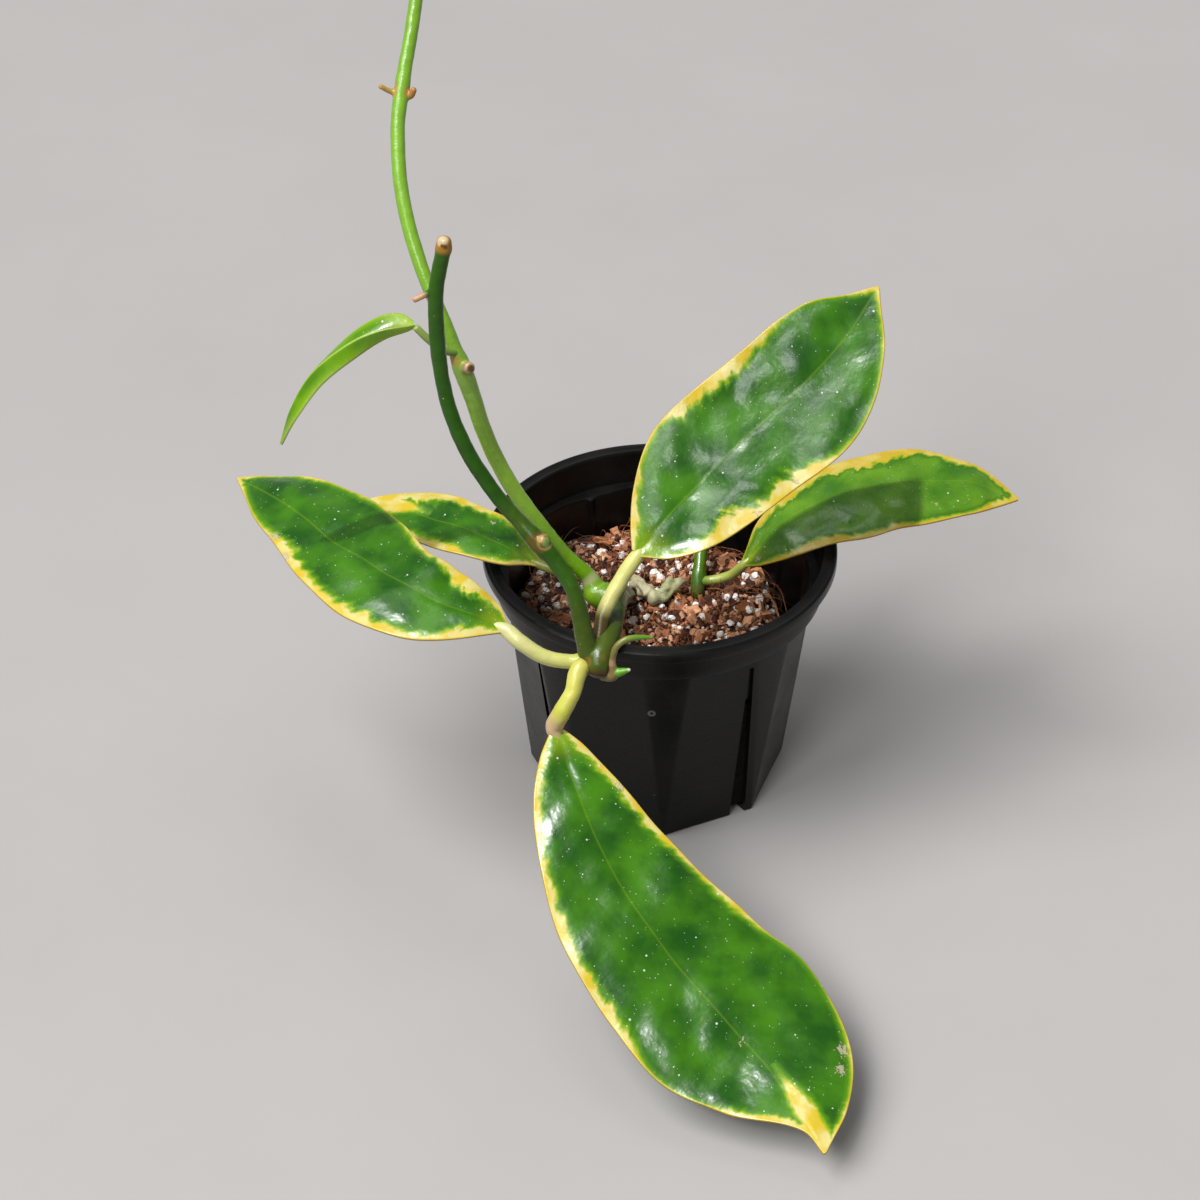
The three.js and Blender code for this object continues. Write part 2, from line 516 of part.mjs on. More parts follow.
const mainStem = mainStemWith(0);
const mainStemRoom = mainStemWith(GAP);
const vine = vineWith(0).subtract(mainStemRoom);
const vineRoom = vineWith(GAP);
const secondStem = stem(SECOND_STEM, SIDES.slim);
const secondStemRoom = stem(SECOND_STEM, SIDES.slim, GAP);
const soilRoomBody = potBody(WALL + GAP, FLOOR_THICKNESS + GAP, POT_HEIGHT - 6);
const soil = soilMound(0).add(soilBits())
  .intersect(soilRoomBody)
  .subtract(mainStemRoom)
  .subtract(secondStemRoom);
const stemsRoom = joined([mainStemRoom, vineRoom, secondStemRoom]);

const plant = new THREE.Group();
plant.add(meshOf('pot', makePot(), BLACK_PLASTIC));
plant.add(meshOf('soil', soil, COIR_MIX));
plant.add(meshOf('main_stem', mainStem, OLD_STEM_GREEN));
plant.add(meshOf('vine_stem', vine, VINE_GREEN));
plant.add(meshOf('second_stem', secondStem, VINE_GREEN));
const youngShoot = stem(YOUNG_SHOOT, SIDES.slim)
  .add(stem(YOUNG_SHOOT_BUD, SIDES.slim))
  .subtract(mainStemRoom);
plant.add(meshOf('young_shoot', youngShoot, SHOOT_BROWN));
const driedShoot = stem(DRIED_SHOOT, SIDES.slim).subtract(soilMound(GAP)).subtract(stemsRoom);
plant.add(meshOf('dried_shoot', driedShoot, DRIED_CREAM));
let taken = stemsRoom;
for (const [name, shape] of Object.entries(BLADES)) {
  const place = name.replace('leaf_', '');
  const route = PETIOLES[`petiole_${place}`];
  const petiole = stem(route, SIDES.petiole).subtract(taken).subtract(blade(shape, GAP));
  taken = taken.add(stem(route, SIDES.petiole, GAP));
  plant.add(meshOf(`petiole_${place}`, petiole, place === 'folded' ? VINE_GREEN : PETIOLE_GREEN));
  plant.add(meshOf(name, blade(shape), place === 'folded' ? YOUNG_LEAF_GREEN : LEAF_GREEN));
}

export default plant;
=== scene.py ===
import itertools
import json
import math

import bmesh
import bpy
import numpy as np
from mathutils import Matrix, Vector, noise

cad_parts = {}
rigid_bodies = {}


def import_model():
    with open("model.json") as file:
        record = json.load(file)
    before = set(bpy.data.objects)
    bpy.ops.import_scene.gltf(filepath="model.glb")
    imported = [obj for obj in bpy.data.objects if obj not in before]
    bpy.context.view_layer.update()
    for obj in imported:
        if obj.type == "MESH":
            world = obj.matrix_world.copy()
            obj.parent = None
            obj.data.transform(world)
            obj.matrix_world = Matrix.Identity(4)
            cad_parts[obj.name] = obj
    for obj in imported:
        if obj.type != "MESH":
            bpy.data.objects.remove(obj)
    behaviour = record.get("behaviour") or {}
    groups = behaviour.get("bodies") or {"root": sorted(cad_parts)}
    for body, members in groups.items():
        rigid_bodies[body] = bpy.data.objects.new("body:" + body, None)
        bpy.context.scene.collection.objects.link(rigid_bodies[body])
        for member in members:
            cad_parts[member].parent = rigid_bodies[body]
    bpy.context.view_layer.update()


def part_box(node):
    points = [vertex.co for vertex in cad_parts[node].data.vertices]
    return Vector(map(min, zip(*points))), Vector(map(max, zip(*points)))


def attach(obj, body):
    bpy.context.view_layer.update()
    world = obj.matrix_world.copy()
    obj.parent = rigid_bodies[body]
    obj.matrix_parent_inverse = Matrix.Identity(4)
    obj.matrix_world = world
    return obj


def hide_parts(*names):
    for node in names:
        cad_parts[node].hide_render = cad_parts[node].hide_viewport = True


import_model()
MM = 0.001


# ------------------------------------------------------------------------------------------- the view
# A small studio: a plain pale floor, a broad window to the upper left, a small bright lamp that is kept
# off the floor, two soft boxes whose sheen lies on the leaves, and a dim room.
CAMERA_PLACE = (-0.01681, -0.72347, 0.61425)
CAMERA_PITCH = 37.6
LENS_LENGTH = 96
SENSOR_WIDTH = 36
# Each lamp: the side it shines from, its strength, and its width in degrees or in metres.
SUNS = {"broad_window": ((-0.5, -0.16, 0.85), 2.2, 38), "bright_lamp": ((-0.23, -0.11, 0.97), 3, 2)}
BOXES = {"front_box": ((-0.29, -0.68, 0.67), 14, 0.34), "back_box": ((-0.12, 0.38, 0.92), 2.5, 0.34)}
BOX_REACH = 1.3
BOX_AIM = (-0.01, -0.05, 0.1)
ROOM_TINT = (0.97, 0.985, 1, 1)
ROOM_LIGHT = 0.3
FLOOR_LIGHT = 1.28
FULL_LIGHT = 2.1
FLOOR_SIZE = 16


def paint(red, green, blue, light=FULL_LIGHT):
    """The finish's own colour, from its colour (0 to 255) as it looks in the full light of this room."""
    linear = []
    for value in (red, green, blue):
        share = value / 255
        linear.append(share / 12.92 if share < 0.04045 else ((share + 0.055) / 1.055) ** 2.4)
    return (linear[0] / light, linear[1] / light, linear[2] / light, 1)


def put(near, kind, inputs=(), **settings):
    """A new node, in the tree of a node or output. Each input is a value or another node's output."""
    node = near.id_data.nodes.new(kind if "Node" in kind else "ShaderNode" + kind)
    for name, value in settings.items():
        setattr(node, name, value)
    for name, value in dict(inputs).items():
        if isinstance(value, bpy.types.NodeSocket):
            feed(node, name, value)
        else:
            node.inputs[name].default_value = value
    return node


def feed(node, name, output):
    node.id_data.links.new(output, node.inputs[name])


def maths(operation, first, second=0.0):
    near = first if isinstance(first, bpy.types.NodeSocket) else second
    return put(near, "Math", {0: first, 1: second}, operation=operation).outputs[0]


def plus(first, second):
    return maths("ADD", first, second)


def minus(first, second):
    return maths("SUBTRACT", first, second)


def times(first, second):
    return maths("MULTIPLY", first, second)


def larger(first, second):
    return maths("MAXIMUM", first, second)


def between(value, low, high):
    """0 below low, 1 above high, and a smooth step between them. It falls where low is above high."""
    limits = {"Value": value, "From Min": low, "From Max": high}
    return put(value, "MapRange", limits, interpolation_type="SMOOTHSTEP").outputs["Result"]


def mixed(share, first, second):
    return put(share, "Mix", {0: share, 6: first, 7: second}, data_type="RGBA").outputs[2]


def cloud(place, scale, detail=2.0, roughness=0.5):
    """A soft random pattern between 0 and 1."""
    inputs = {"Vector": place, "Scale": scale, "Detail": detail, "Roughness": roughness}
    return put(place, "TexNoise", inputs).outputs["Fac"]


def new_finish(name, roughness, specular=0.5):
    """A new material, its shader and the object's own coordinates."""
    material = bpy.data.materials.new(name)
    material.use_nodes = True
    shader = material.node_tree.nodes["Principled BSDF"]
    shader.inputs["Roughness"].default_value = roughness
    shader.inputs["Specular IOR Level"].default_value = specular
    return material, shader, put(shader, "TexCoord").outputs["Object"]


def relief(shader, height, distance):
    bump = put(shader, "Bump", {"Height": height, "Distance": distance, "Strength": 1.0})
    feed(shader, "Normal", bump.outputs["Normal"])


def floor_finish():
    material, shader, place = new_finish("pale_floor", 0.75, 0.2)
    tones = paint(209, 204, 202, FLOOR_LIGHT), paint(221, 217, 215, FLOOR_LIGHT)
    feed(shader, "Base Color", mixed(cloud(place, 7, 4, 0.6), *tones))
    return material


def placed(name, data):
    """A new object, in the scene."""
    made = bpy.data.objects.new(name, data)
    bpy.context.scene.collection.objects.link(made)
    return made


def shining(name, kind, side, strength, **settings):
    """A lamp that shines from a side."""
    lamp_data = bpy.data.lights.new(name, kind)
    lamp_data.energy = strength
    for setting, value in settings.items():
        setattr(lamp_data, setting, value)
    lamp = placed(name, lamp_data)
    lamp.rotation_euler = Vector(side).to_track_quat("Z", "Y").to_euler()
    return lamp


bpy.ops.mesh.primitive_plane_add(size=FLOOR_SIZE, location=(0, 0, 0))
floor = bpy.context.object
floor.name = "floor"
floor.data.materials.append(floor_finish())

camera_data = bpy.data.cameras.new("camera")
camera_data.lens = LENS_LENGTH
camera_data.sensor_width = SENSOR_WIDTH
camera_data.sensor_fit = "HORIZONTAL"
camera_data.clip_start = 0.05
camera = placed("camera", camera_data)
camera.location = CAMERA_PLACE
camera.rotation_euler = (math.radians(90 - CAMERA_PITCH), 0, 0)
bpy.context.scene.camera = camera

off_floor = bpy.data.collections.new("off_floor")
off_floor.objects.link(floor)
off_floor.collection_objects[0].light_linking.link_state = "EXCLUDE"
for name, (side, strength, width) in SUNS.items():
    lamp = shining(name, "SUN", side, strength, angle=math.radians(width))
    if name == "bright_lamp":
        lamp.light_linking.receiver_collection = off_floor
for name, (side, glow, width) in BOXES.items():
    lamp = shining(name, "AREA", side, glow * math.pi * width ** 2, size=width)
    lamp.location = Vector(side).normalized() * BOX_REACH + Vector(BOX_AIM)

room = bpy.data.worlds.new("room")
room.use_nodes = True
background = room.node_tree.nodes["Background"]
background.inputs["Color"].default_value = ROOM_TINT
background.inputs["Strength"].default_value = ROOM_LIGHT
bpy.context.scene.world = room
bpy.context.scene.view_settings.view_transform = "Standard"
bpy.context.scene.view_settings.look = "None"


# ---------------------------------------------------------------------------------------- nursery pot
# One moulding of thin black polypropylene: a flat flange with a turned-down lip, a plain collar, and a
# body that goes from round under the collar to eight-sided at the floor, with four tall drainage slots.
_, pot_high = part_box("pot")
RIM_RADIUS = pot_high.x / MM
POT_HEIGHT = pot_high.z / MM
MOUTH_RADIUS = 46
LIP_DROP = 3.4
COLLAR_BOTTOM = 65.4
COLLAR_LOW_RADIUS = 46.7
COLLAR_TOP_RADIUS = 47.5
LEDGE_HEIGHT = 66.6
LEDGE_RADIUS = 45.2
WALL = 1.2
POT_FLOOR = 1.6
BASE_CORNER_RADIUS = 37
BODY_TOP_RADIUS = 43.8
BODY_TOP_APOTHEM = 42.6
FIRST_CORNER = math.radians(1.8)
HALF_SIDE = math.pi / 8
SLOT_TURNS = [math.radians(36 + quarter) for quarter in (0, 90, 180, 270)]
SLOT_OFF_MIDDLE = SLOT_TURNS[0] - FIRST_CORNER - HALF_SIDE
SLOT_TOP = 60
BLIND_FROM = 46
BLIND_WEB = 0.45
SLOT_TOP_WIDTH = 1.3
SLOT_LOW_WIDTH = 5
SLOT_LOW_SHIFT = 2.5
CUTTER_INSIDE = 31
CUTTER_OUTSIDE = 55
RIB_TURN = math.radians(8)
RIB_HEIGHT = 0.9
RIB_WIDTH = 0.9
DRAIN_RADIUS = 3
DRAIN_RING_RADIUS = 21
DRAIN_COUNT = 6
FLAT_COLUMNS = 30
CONE_COLUMNS = 12
CREASE_ANGLE = 28
MERGE_REACH = 1e-6
SLIVER_LENGTH = 1e-8


def body_sizes(height, inset):
    """Radius of the pot's round cone, and distance of its eight flats from the axis."""
    base_apothem = BASE_CORNER_RADIUS * math.cos(HALF_SIDE)
    share = height / COLLAR_BOTTOM
    cone = BASE_CORNER_RADIUS + (BODY_TOP_RADIUS - BASE_CORNER_RADIUS) * share - inset
    flat = base_apothem + (BODY_TOP_APOTHEM - base_apothem) * share - inset
    return cone, flat


def body_ring(height, inset, round_radius=None):
    """Turns (from the front, toward +X) and radii of one ring of the pot's wall."""
    cone, flat = body_sizes(min(height, LEDGE_HEIGHT), inset)
    half = math.acos(min(flat / cone, 1))
    flats = np.linspace(-half, half, FLAT_COLUMNS + 1)[:-1]
    rounds = np.linspace(half, 2 * HALF_SIDE - half, CONE_COLUMNS + 1)[:-1]
    turns = []
    radii = []
    for side in range(8):
        middle = FIRST_CORNER + HALF_SIDE * (2 * side + 1)
        turns += [middle + flats, middle + rounds]
        radii += [flat / np.cos(flats), np.full(CONE_COLUMNS, cone)]
    turns = np.concatenate(turns)
    radii = np.concatenate(radii) if round_radius is None else np.full(len(turns), float(round_radius))
    return turns, radii


def ring_points(turns, radii, height):
    return np.column_stack([radii * np.sin(turns), -radii * np.cos(turns), np.full(len(turns), height)])


def pot_rings():
    """The wall's rings, from the middle of the underside, up outside, over the rim and down inside."""
    lip_bottom = POT_HEIGHT - LIP_DROP
    rings = [("round", reach, 0) for reach in (6, 12, 18, 24, 30)]
    rings += [("body", 0.6, 0), ("body", 0.2, 0.15), ("body", 0.04, 0.4), ("body", 0, 0.8)]
    rings += [("body", 0, z) for z in np.linspace(2.4, COLLAR_BOTTOM - 0.15, 38)]
    rings += [("round", COLLAR_LOW_RADIUS - inset, z)
              for inset, z in ((0.5, COLLAR_BOTTOM), (0.1, 65.5), (0, 65.8))]
    for z in (68, 70, 72, lip_bottom - 0.1):
        share = (z - COLLAR_BOTTOM) / (lip_bottom - COLLAR_BOTTOM)
        rings.append(("round", COLLAR_LOW_RADIUS + (COLLAR_TOP_RADIUS - COLLAR_LOW_RADIUS) * share, z))
    rings.append(("round", COLLAR_TOP_RADIUS + 0.1, lip_bottom))
    for radius, height, steps in (
        (RIM_RADIUS, lip_bottom, ((0.5, 0), (0.12, 0.12), (0, 0.45))),
        (RIM_RADIUS, POT_HEIGHT, ((0, -0.8), (0.08, -0.4), (0.35, -0.1), (0.8, 0), (1.3, -0.25))),
        (MOUTH_RADIUS, POT_HEIGHT, ((-0.9, -0.25), (-0.5, -0.08), (-0.2, -0.1), (0, -0.4), (0.2, -1.2))),
        (LEDGE_RADIUS, LEDGE_HEIGHT, ((-0.1, 0.6), (0.1, 0.1), (0.4, 0))),
    ):
        rings += [("round", radius - inward, height + rise) for inward, rise in steps]
    rings += [("body", WALL - 0.35, LEDGE_HEIGHT), ("body", WALL - 0.1, LEDGE_HEIGHT - 0.1)]
    rings.append(("body", WALL, LEDGE_HEIGHT - 0.5))
    rings += [("body", WALL, z) for z in np.linspace(LEDGE_HEIGHT - 1.5, POT_FLOOR + 1, 34)]
    rings += [("body", WALL + 0.3, POT_FLOOR + 0.3), ("body", WALL + 1, POT_FLOOR)]
    rings += [("round", reach, POT_FLOOR) for reach in (28, 22, 16, 10, 5)]
    points = []
    for kind, size, z in rings:
        turns, radii = body_ring(z, size) if kind == "body" else body_ring(z, 0, size)
        if kind == "body" and WALL - 0.01 <= size < WALL + 0.5:
            for slot_turn in SLOT_TURNS:
                offset = (turns - slot_turn + RIB_TURN + math.pi) % (2 * math.pi) - math.pi
                radii = radii - RIB_HEIGHT * np.exp(-(offset * radii / RIB_WIDTH) ** 2)
        points.append(ring_points(turns, radii, z))
    return points


def placed_solid(name, points, faces, merge):
    """An object from points in millimetres, with its faces pointing out and, if asked, doubles merged."""
    mesh = bpy.data.meshes.new(name)
    mesh.from_pydata([tuple(c * MM for c in p) for p in points], [], faces)
    work = opened(mesh)
    if merge:
        bmesh.ops.remove_doubles(work, verts=work.verts, dist=MERGE_REACH)
        bmesh.ops.dissolve_degenerate(work, edges=work.edges, dist=SLIVER_LENGTH)
    bmesh.ops.recalc_face_normals(work, faces=work.faces)
    closed(work, mesh)
    return placed(name, mesh)


def lofted(name, rings, merge=True):
    """A new object through rings of points. Its ends close on their middle points."""
    count = len(rings[0])
    points = [tuple(p) for ring in rings for p in ring]
    last = len(points) - count
    faces = []
    for start in range(0, last, count):
        for column in range(count):
            after = (column + 1) % count
            faces.append((start + column, start + after, start + count + after, start + count + column))
    for ring, start in ((rings[0], 0), (rings[-1], last)):
        points.append(tuple(np.mean(ring, axis=0)))
        for column in range(count):
            pair = (start + column, start + (column + 1) % count)
            faces.append((len(points) - 1, *(pair[::-1] if start == 0 else pair)))
    return placed_solid(name, points, faces, merge)


def opened(mesh):
    work = bmesh.new()
    work.from_mesh(mesh)
    return work


def closed(work, mesh):
    work.to_mesh(mesh)
    work.free()


def shaped(name, work):
    """A new object from a bmesh, with its faces pointing out."""
    bmesh.ops.recalc_face_normals(work, faces=work.faces)
    mesh = bpy.data.meshes.new(name)
    closed(work, mesh)
    return placed(name, mesh)


def smooth(piece, crease_angle=180):
    """Smooth shading, with sharp edges where two faces meet at more than the crease angle."""
    work = opened(piece.data)
    for face in work.faces:
        face.smooth = True
    for edge in work.edges:
        edge.smooth = len(edge.link_faces) == 2 and edge.calc_face_angle() < math.radians(crease_angle)
    closed(work, piece.data)


def plain_mesh(piece):
    """The piece with its modifiers worked into its mesh."""
    view = bpy.context.evaluated_depsgraph_get()
    mesh = bpy.data.meshes.new_from_object(piece.evaluated_get(view))
    piece.modifiers.clear()
    piece.data = mesh
    mesh.name = piece.name
    return piece


def pot_cutter():
    """The four wall slots, which lean as they widen toward the floor, and the drain holes. A thin web
    closes the inner side of each slot's narrow top."""
    work = bmesh.new()
    for turn, (low, high) in itertools.product(SLOT_TURNS, [(-1, BLIND_FROM), (BLIND_FROM, SLOT_TOP)]):
        swing = Matrix.Rotation(turn, 4, "Z")
        near, far = [], []
        for side, z in ((-1, low), (1, low), (1, high), (-1, high)):
            share = (z + 1) / (SLOT_TOP + 1)
            half = (SLOT_LOW_WIDTH + (SLOT_TOP_WIDTH - SLOT_LOW_WIDTH) * share) / 2
            x = SLOT_LOW_SHIFT * (1 - share) + side * half
            inner = CUTTER_INSIDE
            if low == BLIND_FROM:
                inner = body_sizes(z, WALL - BLIND_WEB)[1] / math.cos(SLOT_OFF_MIDDLE)
            near.append(work.verts.new(swing @ Vector((x, -inner, z)) * MM))
            far.append(work.verts.new(swing @ Vector((x, -CUTTER_OUTSIDE, z)) * MM))
        work.faces.new(near[::-1])
        work.faces.new(far)
        for i in range(4):
            work.faces.new((near[i], near[(i + 1) % 4], far[(i + 1) % 4], far[i]))
    for index in range(DRAIN_COUNT):
        turn = index / DRAIN_COUNT * 2 * math.pi
        place = Vector((DRAIN_RING_RADIUS * math.cos(turn), DRAIN_RING_RADIUS * math.sin(turn), 0.8))
        bmesh.ops.create_cone(work, cap_ends=True, segments=32, radius1=DRAIN_RADIUS * MM,
                              radius2=DRAIN_RADIUS * MM, depth=4 * MM,
                              matrix=Matrix.Translation(place * MM))
    return shaped("pot_cutter", work)


def specks_on(place, scale, chance, largest, soft=0.04):
    """Small round specks in a share of the cells of a cell pattern."""
    cells = put(place, "TexVoronoi", {"Vector": place, "Scale": scale}).outputs
    size = times(between(cells["Color"], 1 - chance, 1), largest)
    return between(minus(size, cells["Distance"]), 0, soft)


# Where drops of hard water dried on the pot: x, y, z and the ring's radius, in millimetres.
WATER_MARKS = [(-2.5, -41.7, 50, 0.9), (-24, 40.6, 60, 2.2), (22, -36.3, 44, 0.8), (-30, 28.6, 45, 1.6)]


def pot_finish():
    material, shader, place = new_finish("black_polypropylene", 0.4, 0.2)
    scuffed = cloud(place, 90, 6, 0.65)
    dusty = between(cloud(place, 28, 4, 0.6), 0.45, 0.8)
    black = mixed(scuffed, paint(8, 8, 8), paint(21, 19, 19))
    colour = mixed(times(dusty, 0.1), black, paint(104, 98, 94))
    speck = specks_on(place, 210, 0.2, 0.14, 0.03)
    colour = mixed(times(speck, 0.75), colour, paint(176, 172, 168))
    for x, y, z, radius in WATER_MARKS:
        away = put(place, "VectorMath", {0: place, 1: (x * MM, y * MM, z * MM)}, operation="DISTANCE")
        off_ring = maths("ABSOLUTE", minus(away.outputs["Value"], radius * MM))
        mark = between(minus(off_ring, times(scuffed, 0.0007)), 0.0002, -0.0002)
        colour = mixed(times(mark, 0.55), colour, paint(170, 168, 164))
    feed(shader, "Base Color", colour)
    feed(shader, "Roughness", plus(plus(times(scuffed, 0.2), 0.2), times(dusty, 0.12)))
    relief(shader, cloud(place, 900, 3), 0.00006)
    return material


nursery_pot = lofted("nursery_pot", pot_rings())
cutter = pot_cutter()
cut = nursery_pot.modifiers.new("slots_and_drains", "BOOLEAN")
cut.operation = "DIFFERENCE"
cut.solver = "MANIFOLD"
cut.object = cutter
plain_mesh(nursery_pot)
bpy.data.objects.remove(cutter)
smooth(nursery_pot, CREASE_ANGLE)
nursery_pot.data.materials.clear()
nursery_pot.data.materials.append(pot_finish())
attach(nursery_pot, "root")
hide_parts("pot")


# ----------------------------------------------------------------------------------------------- soil
# A loose mix of coir and bark with white perlite, which fills the pot to 2 cm under the rim. It has
# dried and shrunk away from the wall at the back right, where one can look down between them.
SOIL_LEVEL = 56.5
SOIL_RINGS = 64
SOIL_SPOKES = 200
SOIL_GAP = 0.35
SOIL_SIDE_TOP = 42
SHRUNK_TURN = math.radians(118)
SHRUNK_DEPTH = 13
BACK_DROP = 2.2
SOIL_ROUGHNESS = 1.1
LUMP_SCALE = 0.45
# Painted shadow: the soil and what lies on it are painted darker on the left, from x = -14 mm to -24 mm,
# where the leaves above shade them.
SHADOW_FROM = -14
SHADOW_FULL_FROM = -24
PAINTED_SHADOW_DEPTH = 0.6


def step(value, low, high):
    """0 below low, 1 above high, and a smooth step between them, for numbers and arrays."""
    share = np.clip((np.asarray(value, float) - low) / (high - low), 0, 1)
    return share * share * (3 - 2 * share)


def soil_height(x, y):
    reach = np.hypot(x, y)
    turn = np.arctan2(x, -y)
    lumps = 0.9 * np.sin(x * 0.33 + 1.2) * np.cos(y * 0.29) + 0.6 * np.sin(x * 0.71 - y * 0.63)
    away = step(np.cos(turn - SHRUNK_TURN), 0.1, 0.75)
    hollow = SHRUNK_DEPTH * away * step(reach, 29, 37)
    back = BACK_DROP * step(y, 10, 38)
    return SOIL_LEVEL + lumps - hollow - back


def wall_reach(turn, height):
    """How far the soil may reach from the axis before it meets the pot's inner wall."""
    cone, flat = body_sizes(height, WALL + SOIL_GAP)
    off_middle = (turn - FIRST_CORNER) % (2 * HALF_SIDE) - HALF_SIDE
    return np.minimum(cone, flat / np.cos(off_middle))


def soil_rings(outer_share, rough):
    """Rings of the soil's upper surface, from the wall inward to the middle."""
    rings = []
    for row in range(SOIL_RINGS):
        share = outer_share * (1 - row / SOIL_RINGS)
        ring = []
        for column in range(SOIL_SPOKES):
            turn = column / SOIL_SPOKES * 2 * math.pi
            reach = wall_reach(turn, SOIL_LEVEL - 6)
            x, y = share * reach * math.sin(turn), -share * reach * math.cos(turn)
            z = float(soil_height(x, y))
            inner = min(1, wall_reach(turn, z) / reach)
            x, y = x * inner, y * inner
            crumbs = noise.fractal(Vector((x, y, z)) * LUMP_SCALE, 0.7, 2.1, 4) * rough
            ring.append((x, y, z + crumbs))
        rings.append(ring)
    return rings


def soil_body():
    """The whole plug of soil: floor, side wall and rough upper surface."""
    bottom = POT_FLOOR + SOIL_GAP
    rings = [[(share * x, share * y, z) for x, y, z in soil_side(bottom)] for share in (0.3, 0.6, 0.9)]
    rings += [soil_side(z) for z in np.linspace(bottom, SOIL_SIDE_TOP, 30)]
    return rings + soil_rings(1, SOIL_ROUGHNESS)


def soil_side(height):
    ring = []
    for column in range(SOIL_SPOKES):
        turn = column / SOIL_SPOKES * 2 * math.pi
        x, y = math.sin(turn), -math.cos(turn)
        dent = 0.6 + 0.6 * noise.fractal(Vector((x * 20, y * 20, height * 0.5)), 0.7, 2.1, 3)
        reach = wall_reach(turn, height) - max(dent, 0)
        ring.append((x * reach, y * reach, height))
    return ring


def dimmed(colour, level):
    return put(colour, "VectorMath", {0: colour, "Scale": level}, operation="SCALE").outputs["Vector"]


def with_painted_shadow(place, colour):
    """The soil's colour with a painted shadow: darker on the left, under the leaves that shade it."""
    across = put(place, "SeparateXYZ", {"Vector": place}).outputs["X"]
    wander = times(minus(cloud(place, 90, 3), 0.5), 0.02)
    shadowed = between(plus(across, wander), SHADOW_FROM * MM, SHADOW_FULL_FROM * MM)
    return dimmed(colour, minus(1, times(shadowed, PAINTED_SHADOW_DEPTH)))


def soil_finish():
    material, shader, place = new_finish("coir_and_bark", 0.9, 0.25)
    lumps = cloud(place, 420, 6, 0.7)
    patches = cloud(place, 120, 3, 0.6)
    dark = mixed(between(lumps, 0.35, 0.7), paint(14, 7, 4), paint(120, 72, 48))
    colour = mixed(between(patches, 0.4, 0.75), dark, paint(96, 52, 34))
    # Painted shade: below about 48 mm, on the soil's sides and in the shrunk gap at the back, the soil is
    # painted near black, standing in for the shade inside the pot and its slots.
    height = put(place, "SeparateXYZ", {"Vector": place}).outputs["Z"]
    height_for_painted_shade = plus(height, times(minus(patches, 0.5), 0.02))
    colour = mixed(between(height_for_painted_shade, 0.044, 0.052), paint(22, 14, 9), colour)
    # The left side is painted darker here, as a painted shadow under the leaves.
    feed(shader, "Base Color", with_painted_shadow(place, colour))
    relief(shader, lumps, 0.0007)
    return material


soil_bed = lofted("soil_bed", soil_body())
smooth(soil_bed)
soil_bed.data.materials.append(soil_finish())
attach(soil_bed, "root")
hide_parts("soil")


# ---------------------------------------------------------------------------- what lies on the soil
# Bark chips, perlite grains, coir fibres and crumbs, strewn on the surface and partly sunk in it. Each
# kind is a few given shapes, turned and sized at random.
SOIL_LIGHT = 1.3
PICK_RANGE = 20
CHIP_SEED = 5
STREWN_SHARE = 0.945
STREWN_ROUGHNESS = 0.2
UNDER_SIDE_AREA = 1e-5
GRAIN_CREASE = 22
BIT_CREASE = 50
FIBRE_STEPS = 14
FIBRE_THICKNESS = 0.13
BIT_KINDS = {
    "bark_chips": {
        "spacing": 1.8, "density": 90000, "sizes": (0.3, 0.8), "tilt": 1.1, "rise": 0.2, "seed": 4,
        "tones": [(34, 16, 9), (116, 62, 40), (196, 126, 88), (238, 180, 134)],
    },
    "large_chips": {
        "spacing": 9, "density": 4000, "sizes": (0.9, 1.5), "tilt": 0.6, "rise": 0.7, "seed": 9,
        "tones": [(120, 60, 36), (204, 128, 76), (226, 156, 104), (150, 84, 56)],
    },
    "soil_crumbs": {
        "spacing": 0.7, "density": 620000, "sizes": (0.45, 1.4), "tilt": 3.1, "rise": 0, "seed": 11,
        "tones": [(30, 14, 8), (120, 66, 42), (196, 130, 92), (236, 186, 148)],
    },
    "coir_fibres": {
        "spacing": 1.3, "density": 90000, "sizes": (0.5, 1.3), "tilt": 0.32, "rise": 0.5, "seed": 7,
        "tones": [(96, 48, 28), (150, 90, 56), (196, 132, 88), (120, 66, 40)],
    },
    "perlite_grains": {
        "spacing": 2, "density": 46000, "sizes": (0.25, 1.4), "tilt": 3.1, "rise": 0.5, "seed": 23,
        "tones": [(236, 224, 208), (250, 246, 240), (255, 253, 250), (244, 232, 216)],
    },
}
# The chips' noise takes its seed from the clock where none is set.
noise.seed_set(CHIP_SEED)


def lump_shape(name, seed, size, subdivisions, jag):
    """An irregular crumb or grain."""
    work = bmesh.new()
    bmesh.ops.create_icosphere(work, subdivisions=subdivisions, radius=1)
    for vert in work.verts:
        swell = 1 + jag * noise.noise(vert.co * 1.7 + Vector((seed * 7.3, 1.7, 3.1)))
        vert.co = Vector((vert.co.x * size[0], vert.co.y * size[1], vert.co.z * size[2])) * swell * MM
    return shaped(name, work)


def chip_shape(name, seed, size):
    """A torn flake of bark."""
    work = bmesh.new()
    bmesh.ops.create_cube(work, size=1)
    bmesh.ops.subdivide_edges(work, edges=work.edges[:], cuts=3, use_grid_fill=True)
    for vert in work.verts:
        torn = noise.noise_vector(vert.co * 2.2 + Vector((seed * 5.1, 2.3, 0.7)))
        narrow = 1 - 0.5 * abs(vert.co.x) * (seed % 3) / 2
        x, y, z = vert.co.x * size[0], vert.co.y * size[1] * narrow, vert.co.z * size[2]
        vert.co = (Vector((x, y, z)) + Vector((torn.x * 0.9, torn.y * 0.7, torn.z * 0.45))) * MM
    return shaped(name, work)


